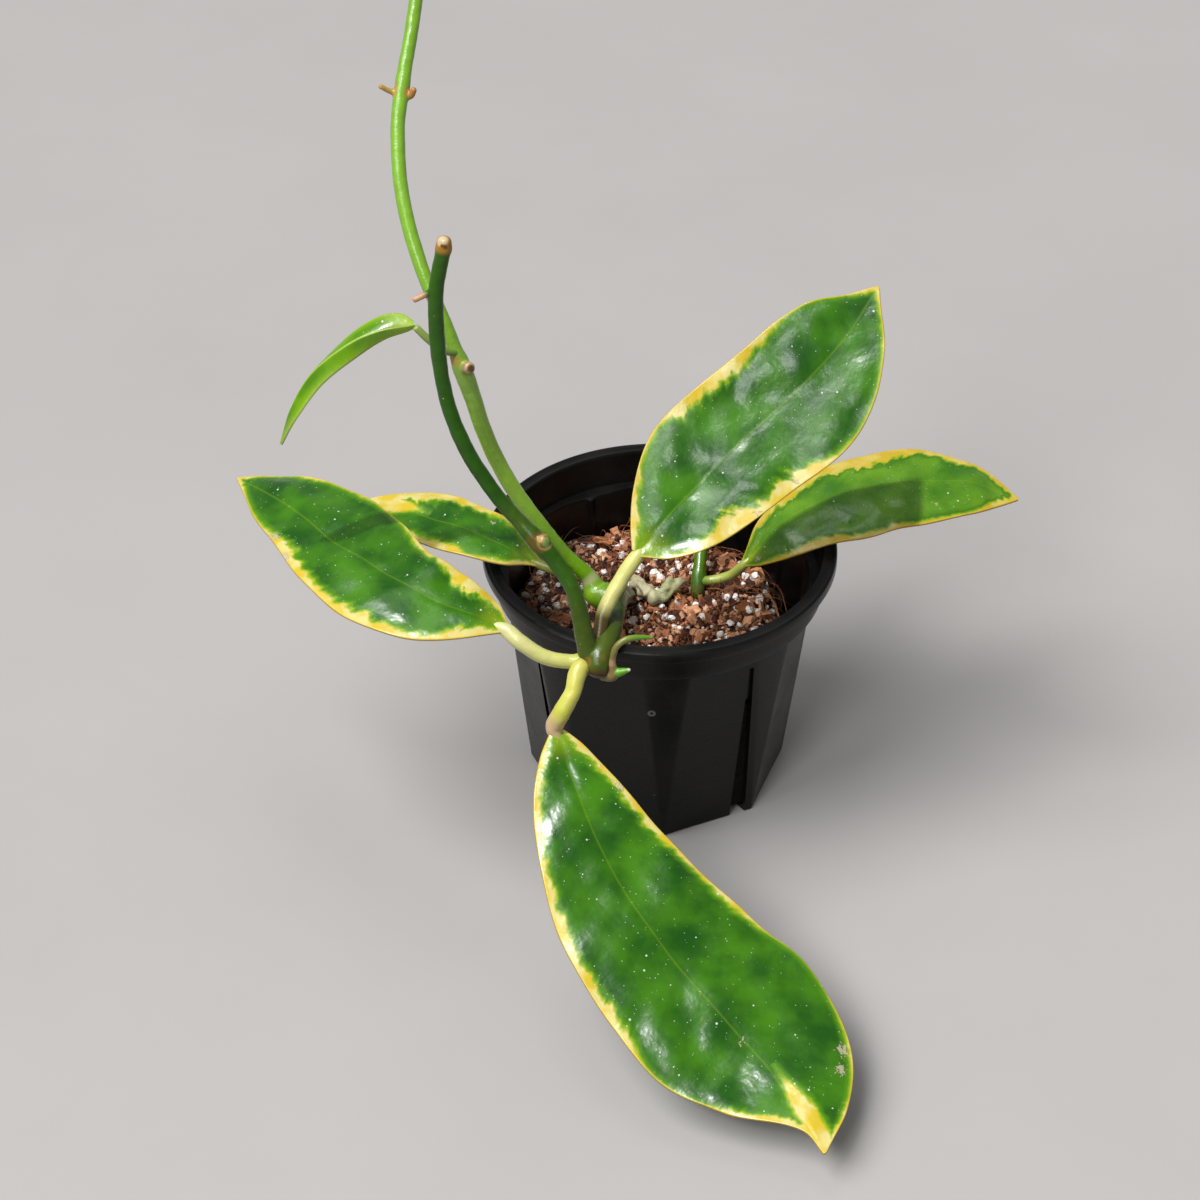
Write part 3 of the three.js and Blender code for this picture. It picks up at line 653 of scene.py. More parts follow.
def fibre_shape(name, seed, length, lift):
    """A curly strand of coir: a thin tube with three sides."""
    rings = []
    for i in range(FIBRE_STEPS + 1):
        share = i / FIBRE_STEPS
        bend = share * 2.6 + seed
        x = length * (share - 0.5)
        y = length * 0.22 * math.sin(bend * 1.4)
        z = lift * math.sin(math.pi * share) * (1 + 0.4 * math.sin(bend * 2.3))
        thick = FIBRE_THICKNESS * (1 - 0.6 * abs(2 * share - 1))
        ring = []
        for corner in range(3):
            turn = corner / 3 * 2 * math.pi
            ring.append((x, y + thick * math.cos(turn), z + thick * math.sin(turn)))
        rings.append(ring)
    return lofted(name, rings)


def bit_shapes(kind):
    if kind in ("bark_chips", "large_chips"):
        sizes = [(5.5, 3.0, 1.1), (7, 2.6, 1.3), (4.2, 3.6, 0.9), (6, 4, 1.4), (3.6, 2.2, 1.2)]
        return [chip_shape(f"chip_{i}", i, size) for i, size in enumerate(sizes)]
    if kind == "coir_fibres":
        strands = [(9, 1.2), (14, 2.6), (7, 0.6), (18, 4.2), (11, 1.8)]
        return [fibre_shape(f"fibre_{i}", i * 1.9, *strand) for i, strand in enumerate(strands)]
    if kind == "perlite_grains":
        sizes = [(1.25, 1.1, 1.0), (1.0, 0.9, 1.1), (1.4, 1.0, 0.9), (0.85, 0.8, 0.7)]
        return [lump_shape(f"grain_{i}", i, size, 2, 0.55) for i, size in enumerate(sizes)]
    sizes = [(0.9, 0.6, 0.5), (0.7, 0.7, 0.5), (1.2, 0.5, 0.4), (0.6, 0.5, 0.6)]
    return [lump_shape(f"crumb_{i}", i, size, 1, 0.9) for i, size in enumerate(sizes)]


def strewing_tree():
    """Geometry nodes that strew the shapes of a collection over a surface."""
    tree = bpy.data.node_groups.new("strewn_bits", "GeometryNodeTree")
    tree.is_modifier = True
    sockets = {"Surface": "Geometry", "Shapes": "Collection", "Seed": "Int", "Finish": "Material"}
    sockets.update(dict.fromkeys(("Spacing", "Density", "Smallest", "Largest", "Tilt", "Rise"), "Float"))
    for name, kind in sockets.items():
        tree.interface.new_socket(name, in_out="INPUT", socket_type="NodeSocket" + kind)
    tree.interface.new_socket("Bits", in_out="OUTPUT", socket_type="NodeSocketGeometry")
    given = put(tree, "NodeGroupInput").outputs

    def drawn(kind, output, limits):
        """A random value for each bit, between its limits."""
        limits = {**limits, "Seed": given["Seed"]}
        return put(tree, "FunctionNodeRandomValue", limits, data_type=kind).outputs[output]

    spots = put(tree, "GeometryNodeDistributePointsOnFaces", {
        "Mesh": given["Surface"], "Distance Min": given["Spacing"], "Density Max": given["Density"],
        "Seed": given["Seed"],
    }, distribute_method="POISSON").outputs
    raised = put(tree, "GeometryNodeSetPosition", {
        "Geometry": spots["Points"], "Offset": dimmed(spots["Normal"], given["Rise"]),
    })
    shapes = put(tree, "GeometryNodeCollectionInfo", {
        "Separate Children": True, "Collection": given["Shapes"],
    })
    tilt, back = given["Tilt"], times(given["Tilt"], -1)
    low = put(tree, "CombineXYZ", {"X": back, "Y": back, "Z": -math.pi}).outputs[0]
    high = put(tree, "CombineXYZ", {"X": tilt, "Y": tilt, "Z": math.pi}).outputs[0]
    turned = put(tree, "FunctionNodeRotateRotation", {
        "Rotation": spots["Rotation"], "Rotate By": drawn("FLOAT_VECTOR", 0, {0: low, 1: high}),
    }, rotation_space="LOCAL")
    bits = put(tree, "GeometryNodeInstanceOnPoints", {
        "Points": raised.outputs["Geometry"], "Instance": shapes.outputs["Instances"],
        "Pick Instance": True, "Instance Index": drawn("INT", 2, {5: PICK_RANGE}),
        "Rotation": turned.outputs["Rotation"],
        "Scale": drawn("FLOAT", 1, {2: given["Smallest"], 3: given["Largest"]}),
    })
    marked = put(tree, "GeometryNodeStoreNamedAttribute", {
        "Geometry": bits.outputs["Instances"], "Name": "shade", "Value": drawn("FLOAT", 1, {}),
    }, data_type="FLOAT", domain="INSTANCE")
    real = put(tree, "GeometryNodeRealizeInstances", {"Geometry": marked.outputs["Geometry"]})
    dressed = put(tree, "GeometryNodeSetMaterial", {
        "Geometry": real.outputs["Geometry"], "Material": given["Finish"],
    })
    put(tree, "NodeGroupOutput", {"Bits": dressed.outputs["Geometry"]})
    return tree


def ramp(value, stops):
    """A colour that goes through the stops as the value goes from 0 to 1."""
    node = put(value, "ValToRGB", {"Fac": value})
    elements = node.color_ramp.elements
    while len(elements) < len(stops):
        elements.new(1)
    for element, (place, colour) in zip(elements, stops):
        element.position = place
        element.color = colour
    return node.outputs["Color"]


def known(near, label):
    """What the vertices carry under a label."""
    return put(near, "Attribute", attribute_name=label).outputs["Fac"]


def bit_finish(kind, tones):
    material, shader, place = new_finish(kind, 0.85, 0.3)
    grain = cloud(place, 700, 4, 0.65)
    stops = [(i / (len(tones) - 1), paint(*tone, SOIL_LIGHT)) for i, tone in enumerate(tones)]
    darkest = 0.82 if kind == "perlite_grains" else 0.45
    level = plus(times(grain, 1.4 * (1 - darkest)), darkest)
    colour = dimmed(ramp(known(place, "shade"), stops), level)
    # The bits are also painted darker on the left, as a painted shadow under the leaves.
    feed(shader, "Base Color", with_painted_shadow(place, colour))
    relief(shader, grain, 0.0002)
    return material


def coordinates(piece):
    """The vertices of a piece, in millimetres."""
    places = np.zeros(len(piece.data.vertices) * 3)
    piece.data.vertices.foreach_get("co", places)
    return places.reshape(-1, 3) / MM


def keep_in_pot(piece):
    """Presses what would reach through the pot's wall back against its inner side."""
    places = coordinates(piece)
    reach = np.hypot(places[:, 0], places[:, 1])
    limit = wall_reach(np.arctan2(places[:, 0], -places[:, 1]), places[:, 2])
    places[:, :2] *= np.minimum(1, limit / np.maximum(reach, 0.001))[:, None]
    piece.data.vertices.foreach_set("co", (places * MM).ravel())


def strewn(kind, surface, tree, facts):
    """One kind of bit, strewn over the soil as a plain mesh."""
    shapes = bpy.data.collections.new(kind)
    for shape in bit_shapes(kind):
        bpy.context.scene.collection.objects.unlink(shape)
        shapes.objects.link(shape)
    piece = placed(kind, surface.data.copy())
    given = {
        "Shapes": shapes, "Spacing": facts["spacing"] * MM, "Density": float(facts["density"]),
        "Smallest": facts["sizes"][0], "Largest": facts["sizes"][1], "Tilt": facts["tilt"],
        "Rise": facts["rise"] * MM, "Seed": facts["seed"], "Finish": bit_finish(kind, facts["tones"]),
    }
    modifier = piece.modifiers.new("strewn_bits", "NODES")
    modifier.node_group = tree
    for socket in tree.interface.items_tree:
        if socket.in_out == "INPUT" and socket.name in given:
            modifier[socket.identifier] = given[socket.name]
    plain_mesh(piece)
    keep_in_pot(piece)
    for shape in list(shapes.objects):
        bpy.data.objects.remove(shape)
    bpy.data.collections.remove(shapes)
    smooth(piece, GRAIN_CREASE if kind == "perlite_grains" else BIT_CREASE)
    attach(piece, "root")


strewing = strewing_tree()
soil_top = lofted("soil_top", soil_rings(STREWN_SHARE, STREWN_ROUGHNESS))
top_work = opened(soil_top.data)
fans = [face for face in top_work.faces if len(face.verts) == 3]
under_side = [face for face in fans if face.calc_area() > UNDER_SIDE_AREA]
bmesh.ops.delete(top_work, geom=under_side, context="FACES_ONLY")
for face in top_work.faces:
    if face.normal.z < 0:
        face.normal_flip()
closed(top_work, soil_top.data)
for bit_kind, bit_facts in BIT_KINDS.items():
    strewn(bit_kind, soil_top, strewing, bit_facts)
bpy.data.objects.remove(soil_top)


# ---------------------------------------------------------------------------------- old and front stem
# The oldest stem, as thick as a pencil: it leaves the soil, arches over the front rim to a knotty node
# and goes on as the dark green front stem, to the callus where it was cut off.
STEM_SIDES = 28
STEM_STEPS = 12
CAP_BENDS = (0.5, 0.9, 1.25)
CAP_REACH = 0.55
STEM_VOXEL = 0.36
OLD_STEM = [
    (-9, 5, 48, 3), (-9.7, -3, 60.5, 3.1), (-11.8, -18, 71.5, 3.1), (-12.8, -34, 79.5, 3),
    (-14.1, -46.5, 82, 3), (-16.8, -55, 80.6, 3.5), (-17.4, -58.6, 77.8, 2.8),
]
FRONT_STEM = [
    (-19.3, -55, 79, 3), (-21, -53, 86, 2.6), (-23.7, -48, 96.5, 2.2), (-28.5, -44, 103.5, 2.25),
    (-33.5, -41, 108.5, 2.7), (-38.5, -38, 113, 2.1), (-44.8, -35, 120, 2.05), (-51.2, -32, 130, 2.1),
    (-55.6, -29, 140, 2), (-58.1, -26, 150.5, 2), (-59.1, -24, 162.5, 2.1), (-59, -22, 175, 2.05),
    (-56.8, -20.1, 186, 2),
]
FRONT_CALLUS = [(-57.2, -20.4, 184, 2), (-56.8, -20.1, 186.2, 2.2), (-56.5, -19.9, 188.4, 1.9)]
FRONT_STUB = [(-33.5, -41, 108.7, 2), (-32.4, -41.9, 109.2, 2.1), (-31.4, -42.8, 109.7, 1.9)]
FRONT_ROOT = [(-59, -22, 174.2, 1.2), (-61.3, -22.6, 174, 0.9), (-64.7, -23.3, 172.6, 0.85)]
DARK_GREEN = (42, 94, 0)
OLIVE_BROWN = (104, 92, 22)
SCAR_TAN = (214, 168, 100)


def curve_points(route, steps):
    """Points of a smooth curve through the route, with every number of a point carried along."""
    given = np.array(route, float)
    given = np.vstack([2 * given[0] - given[1], given, 2 * given[-1] - given[-2]])
    spans = len(route) - 1
    places = np.linspace(0, spans, spans * steps + 1)
    span = np.minimum(places.astype(int), spans - 1)
    t = (places - span)[:, None]
    before, start, end, after = given[span], given[span + 1], given[span + 2], given[span + 3]
    leaving = (end - before) / 2
    arriving = (after - start) / 2
    return ((2 * start - 2 * end + leaving + arriving) * t ** 3
            + (3 * end - 3 * start - 2 * leaving - arriving) * t ** 2 + leaving * t + start)


def unit(vectors):
    return vectors / np.linalg.norm(vectors, axis=-1, keepdims=True)


def tube_rings(route, lumps, seed):
    """Rings round a stem, with rounded ends and a slightly lumpy skin."""
    path = curve_points(route, STEM_STEPS)
    middles, radii = path[:, :3], path[:, 3]
    ahead = unit(np.gradient(middles, axis=0))
    side = np.cross(ahead[0], (1, 0, 0) if abs(ahead[0][2]) > 0.9 else (0, 0, 1))
    rings = []
    for i, middle in enumerate(middles):
        side = unit(side - ahead[i] * np.dot(side, ahead[i]))
        over = np.cross(ahead[i], side)
        ring = []
        for corner in range(STEM_SIDES):
            turn = corner / STEM_SIDES * 2 * math.pi
            out = side * math.cos(turn) + over * math.sin(turn)
            swell = 1 + lumps * noise.noise(Vector((middle + out * 2) * 0.45) + Vector((seed, 0, 0)))
            ring.append(middle + out * radii[i] * swell)
        rings.append(np.array(ring))
    caps = []
    for end, way in ((0, -1), (-1, 1)):
        middle = rings[end].mean(axis=0)
        reach = way * ahead[end] * radii[end]
        caps.append([middle + (rings[end] - middle) * math.cos(bend) + reach * math.sin(bend) * CAP_REACH
                     for bend in CAP_BENDS])
    return caps[0][::-1] + rings + caps[1]


def grown(name, routes, lumps=0.05, voxel=None):
    """Stems that grew together: their tubes, fused into one skin where a voxel size is given."""
    tubes = [lofted(f"{name}_{i}", tube_rings(route, lumps, i)) for i, route in enumerate(routes)]
    piece = tubes[0]
    piece.name = name
    work = opened(piece.data)
    for tube in tubes[1:]:
        work.from_mesh(tube.data)
        bpy.data.objects.remove(tube)
    closed(work, piece.data)
    if voxel:
        fuse = piece.modifiers.new("fuse", "REMESH")
        fuse.mode = "VOXEL"
        fuse.voxel_size = voxel * MM
        soften = piece.modifiers.new("soften", "SMOOTH")
        soften.factor = 0.5
        soften.iterations = 4
        plain_mesh(piece)
    smooth(piece)
    return piece


def tinted(piece, along, stops, marks=()):
    """Colours a stem's skin: stops from one end of the route to the other, then marks.
    A stop is (share of the route, colour), and a mark (place, radius, colour, inner radius of a ring)."""
    places = coordinates(piece)
    path = curve_points(along, STEM_STEPS)[:, :3]
    nearest = np.array([np.argmin(((path - place) ** 2).sum(axis=1)) for place in places])
    share = nearest / (len(path) - 1)
    shares = [stop[0] for stop in stops]
    colours = np.array([paint(*stop[1]) for stop in stops])
    tint = np.column_stack([np.interp(share, shares, colours[:, channel]) for channel in range(4)])
    for place, radius, colour, inner in marks:
        away = np.linalg.norm(places - np.array(place), axis=1)
        strength = (1 - step(away, radius * 0.7, radius)) * step(away, inner - 0.6, inner + 0.2)
        tint += strength[:, None] * (np.array(paint(*colour)) - tint)
    layer = piece.data.color_attributes.new("tint", "FLOAT_COLOR", "POINT")
    layer.data.foreach_set("color", tint.astype(np.float32).ravel())


def stem_finish(name, roughness, mottle=0.35, specks=1.0, specular=0.5):
    """Waxy plant skin: its tint, clouded, with fine pale pores, a little dust and a soft gloss."""
    material, shader, place = new_finish(name, roughness, specular)
    tint = put(place, "Attribute", attribute_name="tint").outputs["Color"]
    clouds = cloud(place, 260, 4, 0.6)
    skin = dimmed(tint, plus(times(clouds, 2 * mottle), 1 - mottle))
    pore = specks_on(place, 520, 0.38, 0.16 * specks, 0.05)
    feed(shader, "Base Color", mixed(times(pore, 0.75), skin, paint(196, 214, 150)))
    feed(shader, "Roughness", plus(times(clouds, 0.16), roughness - 0.08))
    relief(shader, plus(times(cloud(place, 1500, 3, 0.6), 0.5), clouds), 0.00012)
    return material


main_stem = grown("old_and_front_stem", [OLD_STEM, FRONT_STEM, FRONT_CALLUS, FRONT_STUB, FRONT_ROOT],
                  0.07, STEM_VOXEL)
tinted(main_stem, OLD_STEM[:5] + FRONT_STEM[1:], [
    (0, (52, 70, 40)), (0.12, (66, 88, 50)), (0.2, (60, 88, 30)), (0.29, (86, 106, 24)), (0.34, (70, 94, 14)),
    (0.4, (58, 104, 10)), (0.5, DARK_GREEN), (0.56, (74, 104, 18)), (0.62, DARK_GREEN), (1, (56, 110, 6)),
], [
    ((-17.4, -60, 76.6), 4.2, (84, 66, 22), 0), ((-19.9, -57.6, 80.6), 1.8, (132, 112, 40), 0),
    ((-16, -58, 82.6), 1.2, (112, 104, 44), 0), ((-20, -58.4, 78.6), 0.8, (170, 164, 96), 0),
    ((-33.5, -42, 108.7), 3.8, OLIVE_BROWN, 0), ((-31.4, -43, 109.6), 2.5, SCAR_TAN, 2),
    ((-31, -43.4, 109.8), 1.7, (158, 186, 96), 0), ((-32.6, -43.4, 111), 1.3, (222, 180, 110), 0),
    ((-56.6, -20, 187), 3.2, (190, 138, 50), 0), ((-56.9, -20.6, 188.4), 1.8, (244, 218, 168), 0),
    ((-56.2, -22, 187.6), 0.7, (120, 74, 26), 0), ((-57.1, -21.9, 187.9), 0.6, (132, 84, 34), 0),
    ((-64.7, -23.3, 172.6), 4, (236, 184, 140), 0),
])
main_stem.data.materials.append(stem_finish("old_stem_skin", 0.3, specular=0.3))
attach(main_stem, "root")
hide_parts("main_stem")


# ----------------------------------------------------------------------------------------------- vine
# The long young vine behind the front stem. It starts at a swollen bright green joint, carries a round
# scar and, higher up, a pair of short aerial roots, and ends in a pair of tiny opening leaves.
VINE = [
    (-13, -23, 75, 4), (-17.5, -20.5, 75.5, 3.9), (-20, -18.5, 79.5, 2.4), (-26.3, -17, 86, 2.05),
    (-32.6, -16.8, 95, 2.2), (-39, -16, 105, 2.25), (-44.1, -15, 115, 2.25), (-48.1, -14, 125.5, 2.25),
    (-50.7, -13, 135, 2.35), (-53.4, -12, 144, 2.6), (-55.4, -10.6, 149.8, 1.95), (-58.4, -7.8, 157.1, 1.9),
    (-62.5, -3.2, 165.4, 1.9), (-65.5, 2, 172.4, 1.95), (-67.9, 7.7, 178.8, 1.95),
    (-69.8, 15.6, 186.8, 1.95), (-70.4, 25.3, 196.1, 1.95), (-69.5, 32.4, 202.7, 2.1),
    (-68.6, 37.3, 207.5, 1.95), (-67.1, 44.3, 213.9, 1.9), (-65.9, 50.9, 220.1, 1.85),
    (-64.2, 58, 228.5, 1.7), (-61, 64.8, 239.5, 1.5), (-56.5, 69.5, 250.5, 1.2), (-53, 72, 259, 0.8),
]
VINE_SCAR = [(-53, -12.4, 144.4, 1.9), (-52, -13.9, 145.5, 1.8), (-51.3, -14.9, 146.1, 1.65)]
VINE_ROOT_LEFT = [(-69.5, 32.4, 202.7, 1.3), (-72.2, 31.8, 202.9, 0.8), (-75.2, 31.6, 204.7, 0.7)]
VINE_ROOT_RIGHT = [(-69.5, 32.4, 202.7, 1.6), (-67.2, 31.2, 202.1, 1.1), (-66, 31, 204.1, 0.8)]
VINE_GREEN = (150, 208, 50)

vine_finish = stem_finish("vine_skin", 0.26, 0.2, specular=0.55)
vine = grown("vine", [VINE, VINE_SCAR, VINE_ROOT_LEFT, VINE_ROOT_RIGHT], 0.05, STEM_VOXEL)
# From 0.2 to 0.37 of the way up, the vine is a lighter green than the rest. This is partly its own young
# colour and partly painted light, standing in for the sheen and light that this near-upright part gets too
# little of.
tinted(vine, VINE, [
    (0, (106, 156, 26)), (0.05, (150, 200, 40)), (0.085, (140, 190, 34)), (0.1, (132, 196, 0)),
    (0.2, (176, 232, 60)), (0.3, (170, 226, 60)), (0.37, (172, 220, 84)), (0.45, VINE_GREEN),
    (0.7, (146, 206, 50)), (1, (140, 194, 44)),
], [
    ((-19.6, -18.7, 78.9), 3.1, (214, 214, 160), 2.4), ((-51.5, -14.7, 145.9), 2.4, (196, 158, 104), 0),
    ((-51.1, -15.3, 146.2), 1.9, (244, 214, 170), 1.5), ((-50.9, -15.6, 146.4), 1.1, (120, 84, 40), 0),
    ((-54.8, -12.8, 147), 1.8, (216, 190, 80), 0), ((-56.6, -11.6, 147), 2, (196, 152, 88), 0),
    ((-52.6, -14, 140), 1, (206, 216, 160), 0),
    ((-74.2, 31.6, 204.1), 4.3, (214, 172, 80), 0), ((-66.6, 30.8, 203.3), 2.4, (206, 146, 66), 0),
])
vine.data.materials.append(vine_finish)
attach(vine, "root")
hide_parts("vine_stem")


# ---------------------------------------------------------------------------------- the small stems
# A second slim stem behind the big upright leaf, the hooked young shoot with its bud at the front node,
# and a pale shrivelled shoot that lies dead on the soil.
SECOND_STEM = [
    (11, 6, 46, 1.9), (11, 3.4, 55, 1.9), (11.2, 4.2, 60, 2.1), (11.8, 9, 64, 1.8), (12.6, 15, 67.5, 1.7),
    (13.4, 19, 70, 1.9),
]
YOUNG_SHOOT = [
    (-16, -57.5, 76.5, 1.9), (-13.3, -58.6, 77, 1.6), (-13.5, -58, 81, 0.95), (-12.6, -57.5, 85.3, 0.9),
    (-10, -56.5, 87.3, 0.9), (-6, -55.3, 87.2, 0.75), (-2.8, -54.5, 86.4, 0.45),
]
YOUNG_BUD = [(-13.6, -58.6, 77.4, 1.3), (-11.4, -59, 78.3, 1.2), (-8.8, -59.4, 79.4, 0.45)]
DRIED_SHOOT = [
    (-7.5, 7.5, 59.5, 1.2), (-5, 2, 60.2, 1.9), (-1.5, -1.8, 59.2, 2.3), (2.2, -0.5, 60.4, 1.8),
    (5.2, 2.6, 61.6, 1.4), (7.6, 4, 60.8, 0.9),
]
DRIED_FOLD_LEFT = [(-8, 4, 59.6, 0.9), (-5.4, 1, 61.8, 1.2), (-3, -2, 61.2, 1.5)]
DRIED_FOLD_RIGHT = [(1, -1.6, 60, 1.2), (2.6, 1.6, 62.4, 1.1), (5, 2.4, 61.4, 1.1)]

second_stem = grown("second_stem_skin", [SECOND_STEM], 0.05)
tinted(second_stem, SECOND_STEM, [
    (0, (60, 84, 20)), (0.4, (74, 122, 4)), (0.7, (104, 154, 30)), (1, (110, 160, 40)),
], [((11.2, 3.6, 59), 2.6, (120, 128, 66), 0)])
second_stem.data.materials.append(vine_finish)
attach(second_stem, "root")
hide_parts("second_stem")

young_shoot = grown("hooked_shoot", [YOUNG_SHOOT, YOUNG_BUD], 0.08, 0.26)
tinted(young_shoot, YOUNG_SHOOT, [
    (0, (120, 110, 60)), (0.3, (160, 128, 78)), (0.5, (150, 138, 66)), (0.7, (140, 160, 56)),
    (0.85, (110, 172, 36)), (1, (140, 176, 60)),
], [((-10.6, -59.2, 78.6), 2.8, (112, 182, 30), 0), ((-8.8, -59.4, 79.4), 0.9, (236, 232, 200), 0),
    ((-13.5, -58, 81), 1.6, (204, 164, 120), 0.8)])
young_shoot.data.materials.append(stem_finish("young_shoot_skin", 0.38, 0.25, 0.6))
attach(young_shoot, "root")
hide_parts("young_shoot")

dried_shoot = grown("shrivelled_shoot", [DRIED_SHOOT, DRIED_FOLD_LEFT, DRIED_FOLD_RIGHT], 0.6, 0.3)
tinted(dried_shoot, DRIED_SHOOT, [
    (0, (206, 194, 150)), (0.35, (222, 214, 168)), (0.6, (196, 204, 142)), (1, (214, 196, 156)),
], [((-4, -1, 60.4), 2.2, (170, 152, 110), 0), ((6.8, 3.6, 61), 1.6, (176, 148, 118), 0)])
dried_shoot.data.materials.append(stem_finish("dried_shoot_skin", 0.62, 0.35, 0.4))
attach(dried_shoot, "root")
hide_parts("dried_shoot")


# ------------------------------------------------------------------------------------------- petioles
# Leaf stalks: smooth, round and pale yellow-green, thick as a match or two. Each grows out of a stem's
# node, where it is brownish, and swells a little where it joins its blade.
PETIOLES = {
    "left": [(-20.5, -55, 79.4, 2.3), (-24.5, -55.2, 78.8, 2.05), (-31.5, -54.8, 80, 2.05),
             (-37.8, -53, 83.4, 2.15), (-41.7, -50.4, 85.6, 2), (-46, -48.9, 86.4, 0.9)],
    "front": [(-20.4, -54.5, 79, 2.7), (-22.7, -58.5, 77.6, 2.5), (-24.1, -62, 73.8, 2.25),
              (-27, -64.6, 69, 2.45), (-29, -65.6, 64.4, 2.4), (-27.4, -68.4, 61, 0.9)],
    "upright": [(-17.2, -51.5, 82, 1.8), (-15.7, -44.9, 87.5, 2.1), (-11.2, -39.6, 94.4, 2.1),
                (-7, -36.2, 99.6, 2), (-3.6, -33, 101.2, 1)],
    "right": [(11.6, 4.2, 60.6, 1.4), (16, 4.4, 61, 1.4), (20.5, 3.8, 63.2, 1.4), (23.8, 2.6, 67.4, 1.4),
              (25.5, 3.2, 69.4, 0.6)],
    "folded": [(-54, -11.5, 148.6, 1.1), (-58, -13.3, 150.6, 1.1), (-61.6, -14.2, 154.2, 1.05),
               (-65.1, -14.1, 158.2, 1)],
    "back": [(-19, -18.6, 78, 1.6), (-24.5, -16.4, 79, 1.5), (-29, -14.8, 79, 1.5), (-33.2, -12.8, 79.3, 1.4),
             (-35.8, -12, 80, 0.7)],
    "hidden": [(13.2, 18.4, 69.6, 1.4), (15, 21.5, 70.8, 1.3), (17.3, 24.4, 72.2, 1.2),
               (19, 25.6, 73.4, 0.6)],
}
PETIOLE_TONES = {
    "left": [(0, (150, 140, 40)), (0.14, (230, 230, 112)), (0.6, (248, 246, 160)), (1, (252, 248, 180))],
    "front": [(0, (140, 128, 34)), (0.14, (236, 232, 110)), (0.45, (248, 244, 110)), (0.6, (226, 228, 84)),
              (0.7, (232, 204, 140)), (0.8, (240, 200, 164)), (1, (214, 214, 90))],
    "upright": [(0, (74, 60, 0)), (0.2, (92, 76, 4)), (0.32, (250, 244, 150)), (0.75, (250, 250, 140)),
                (1, (190, 206, 74))],
    "right": [(0, (120, 166, 40)), (0.3, (214, 224, 110)), (1, (206, 216, 96))],
    "folded": [(0, (120, 170, 50)), (0.5, (160, 190, 90)), (1, (180, 204, 104))],
    "back": [(0, (150, 158, 68)), (1, (180, 184, 80))],
    "hidden": [(0, (120, 150, 60)), (1, (150, 176, 70))],
}

petiole_finish = stem_finish("petiole_skin", 0.3, 0.16, 0.8)
for name, route in PETIOLES.items():
    petiole = grown(f"stalk_{name}", [route], 0.04)
    tinted(petiole, route, PETIOLE_TONES[name])
    petiole.data.materials.append(vine_finish if name == "folded" else petiole_finish)
    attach(petiole, "root")
    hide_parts(f"petiole_{name}")


# --------------------------------------------------------------------------------------------- blades
# Thick, glossy leaf blades: dark green with a ragged cream margin, a yellow rim and a thin brown edge.
# One young blade near the top of the vine is plain bright green and folded along its midrib.
STATIONS = [0, 0.05, 0.14, 0.28, 0.42, 0.56, 0.7, 0.84, 0.94, 1]
CREAM_SHARES = np.linspace(0, 1, 21)
BLADE_STEPS = 150
BLADE_STRIPS = 64
RIB_STEPS = 400
BLADE_EDGE = 0.7
EDGE_ROUNDING = 0.35
VEIN_SPACING = 8.5
GROOVE_WIDTH = 1.1
NO_FINGER = -20.0
PILLOW_HEIGHT = 0.12
FINE_HEIGHT = 0.05
WAVE_HEIGHT = 1.2
RUFFLE_HEIGHT = 0.35
FULL_WIDTH = 8
BLADE_FACTS = ("along", "offset", "near_edge", "cream", "finger", "scar", "upper")
# What a blade of the table below leaves out.
PLAIN_BLADE = {"cream_left": [0] * 21, "cream_right": [0] * 21, "fold": 0, "fingers": [], "scars": [],
               "bulges": []}
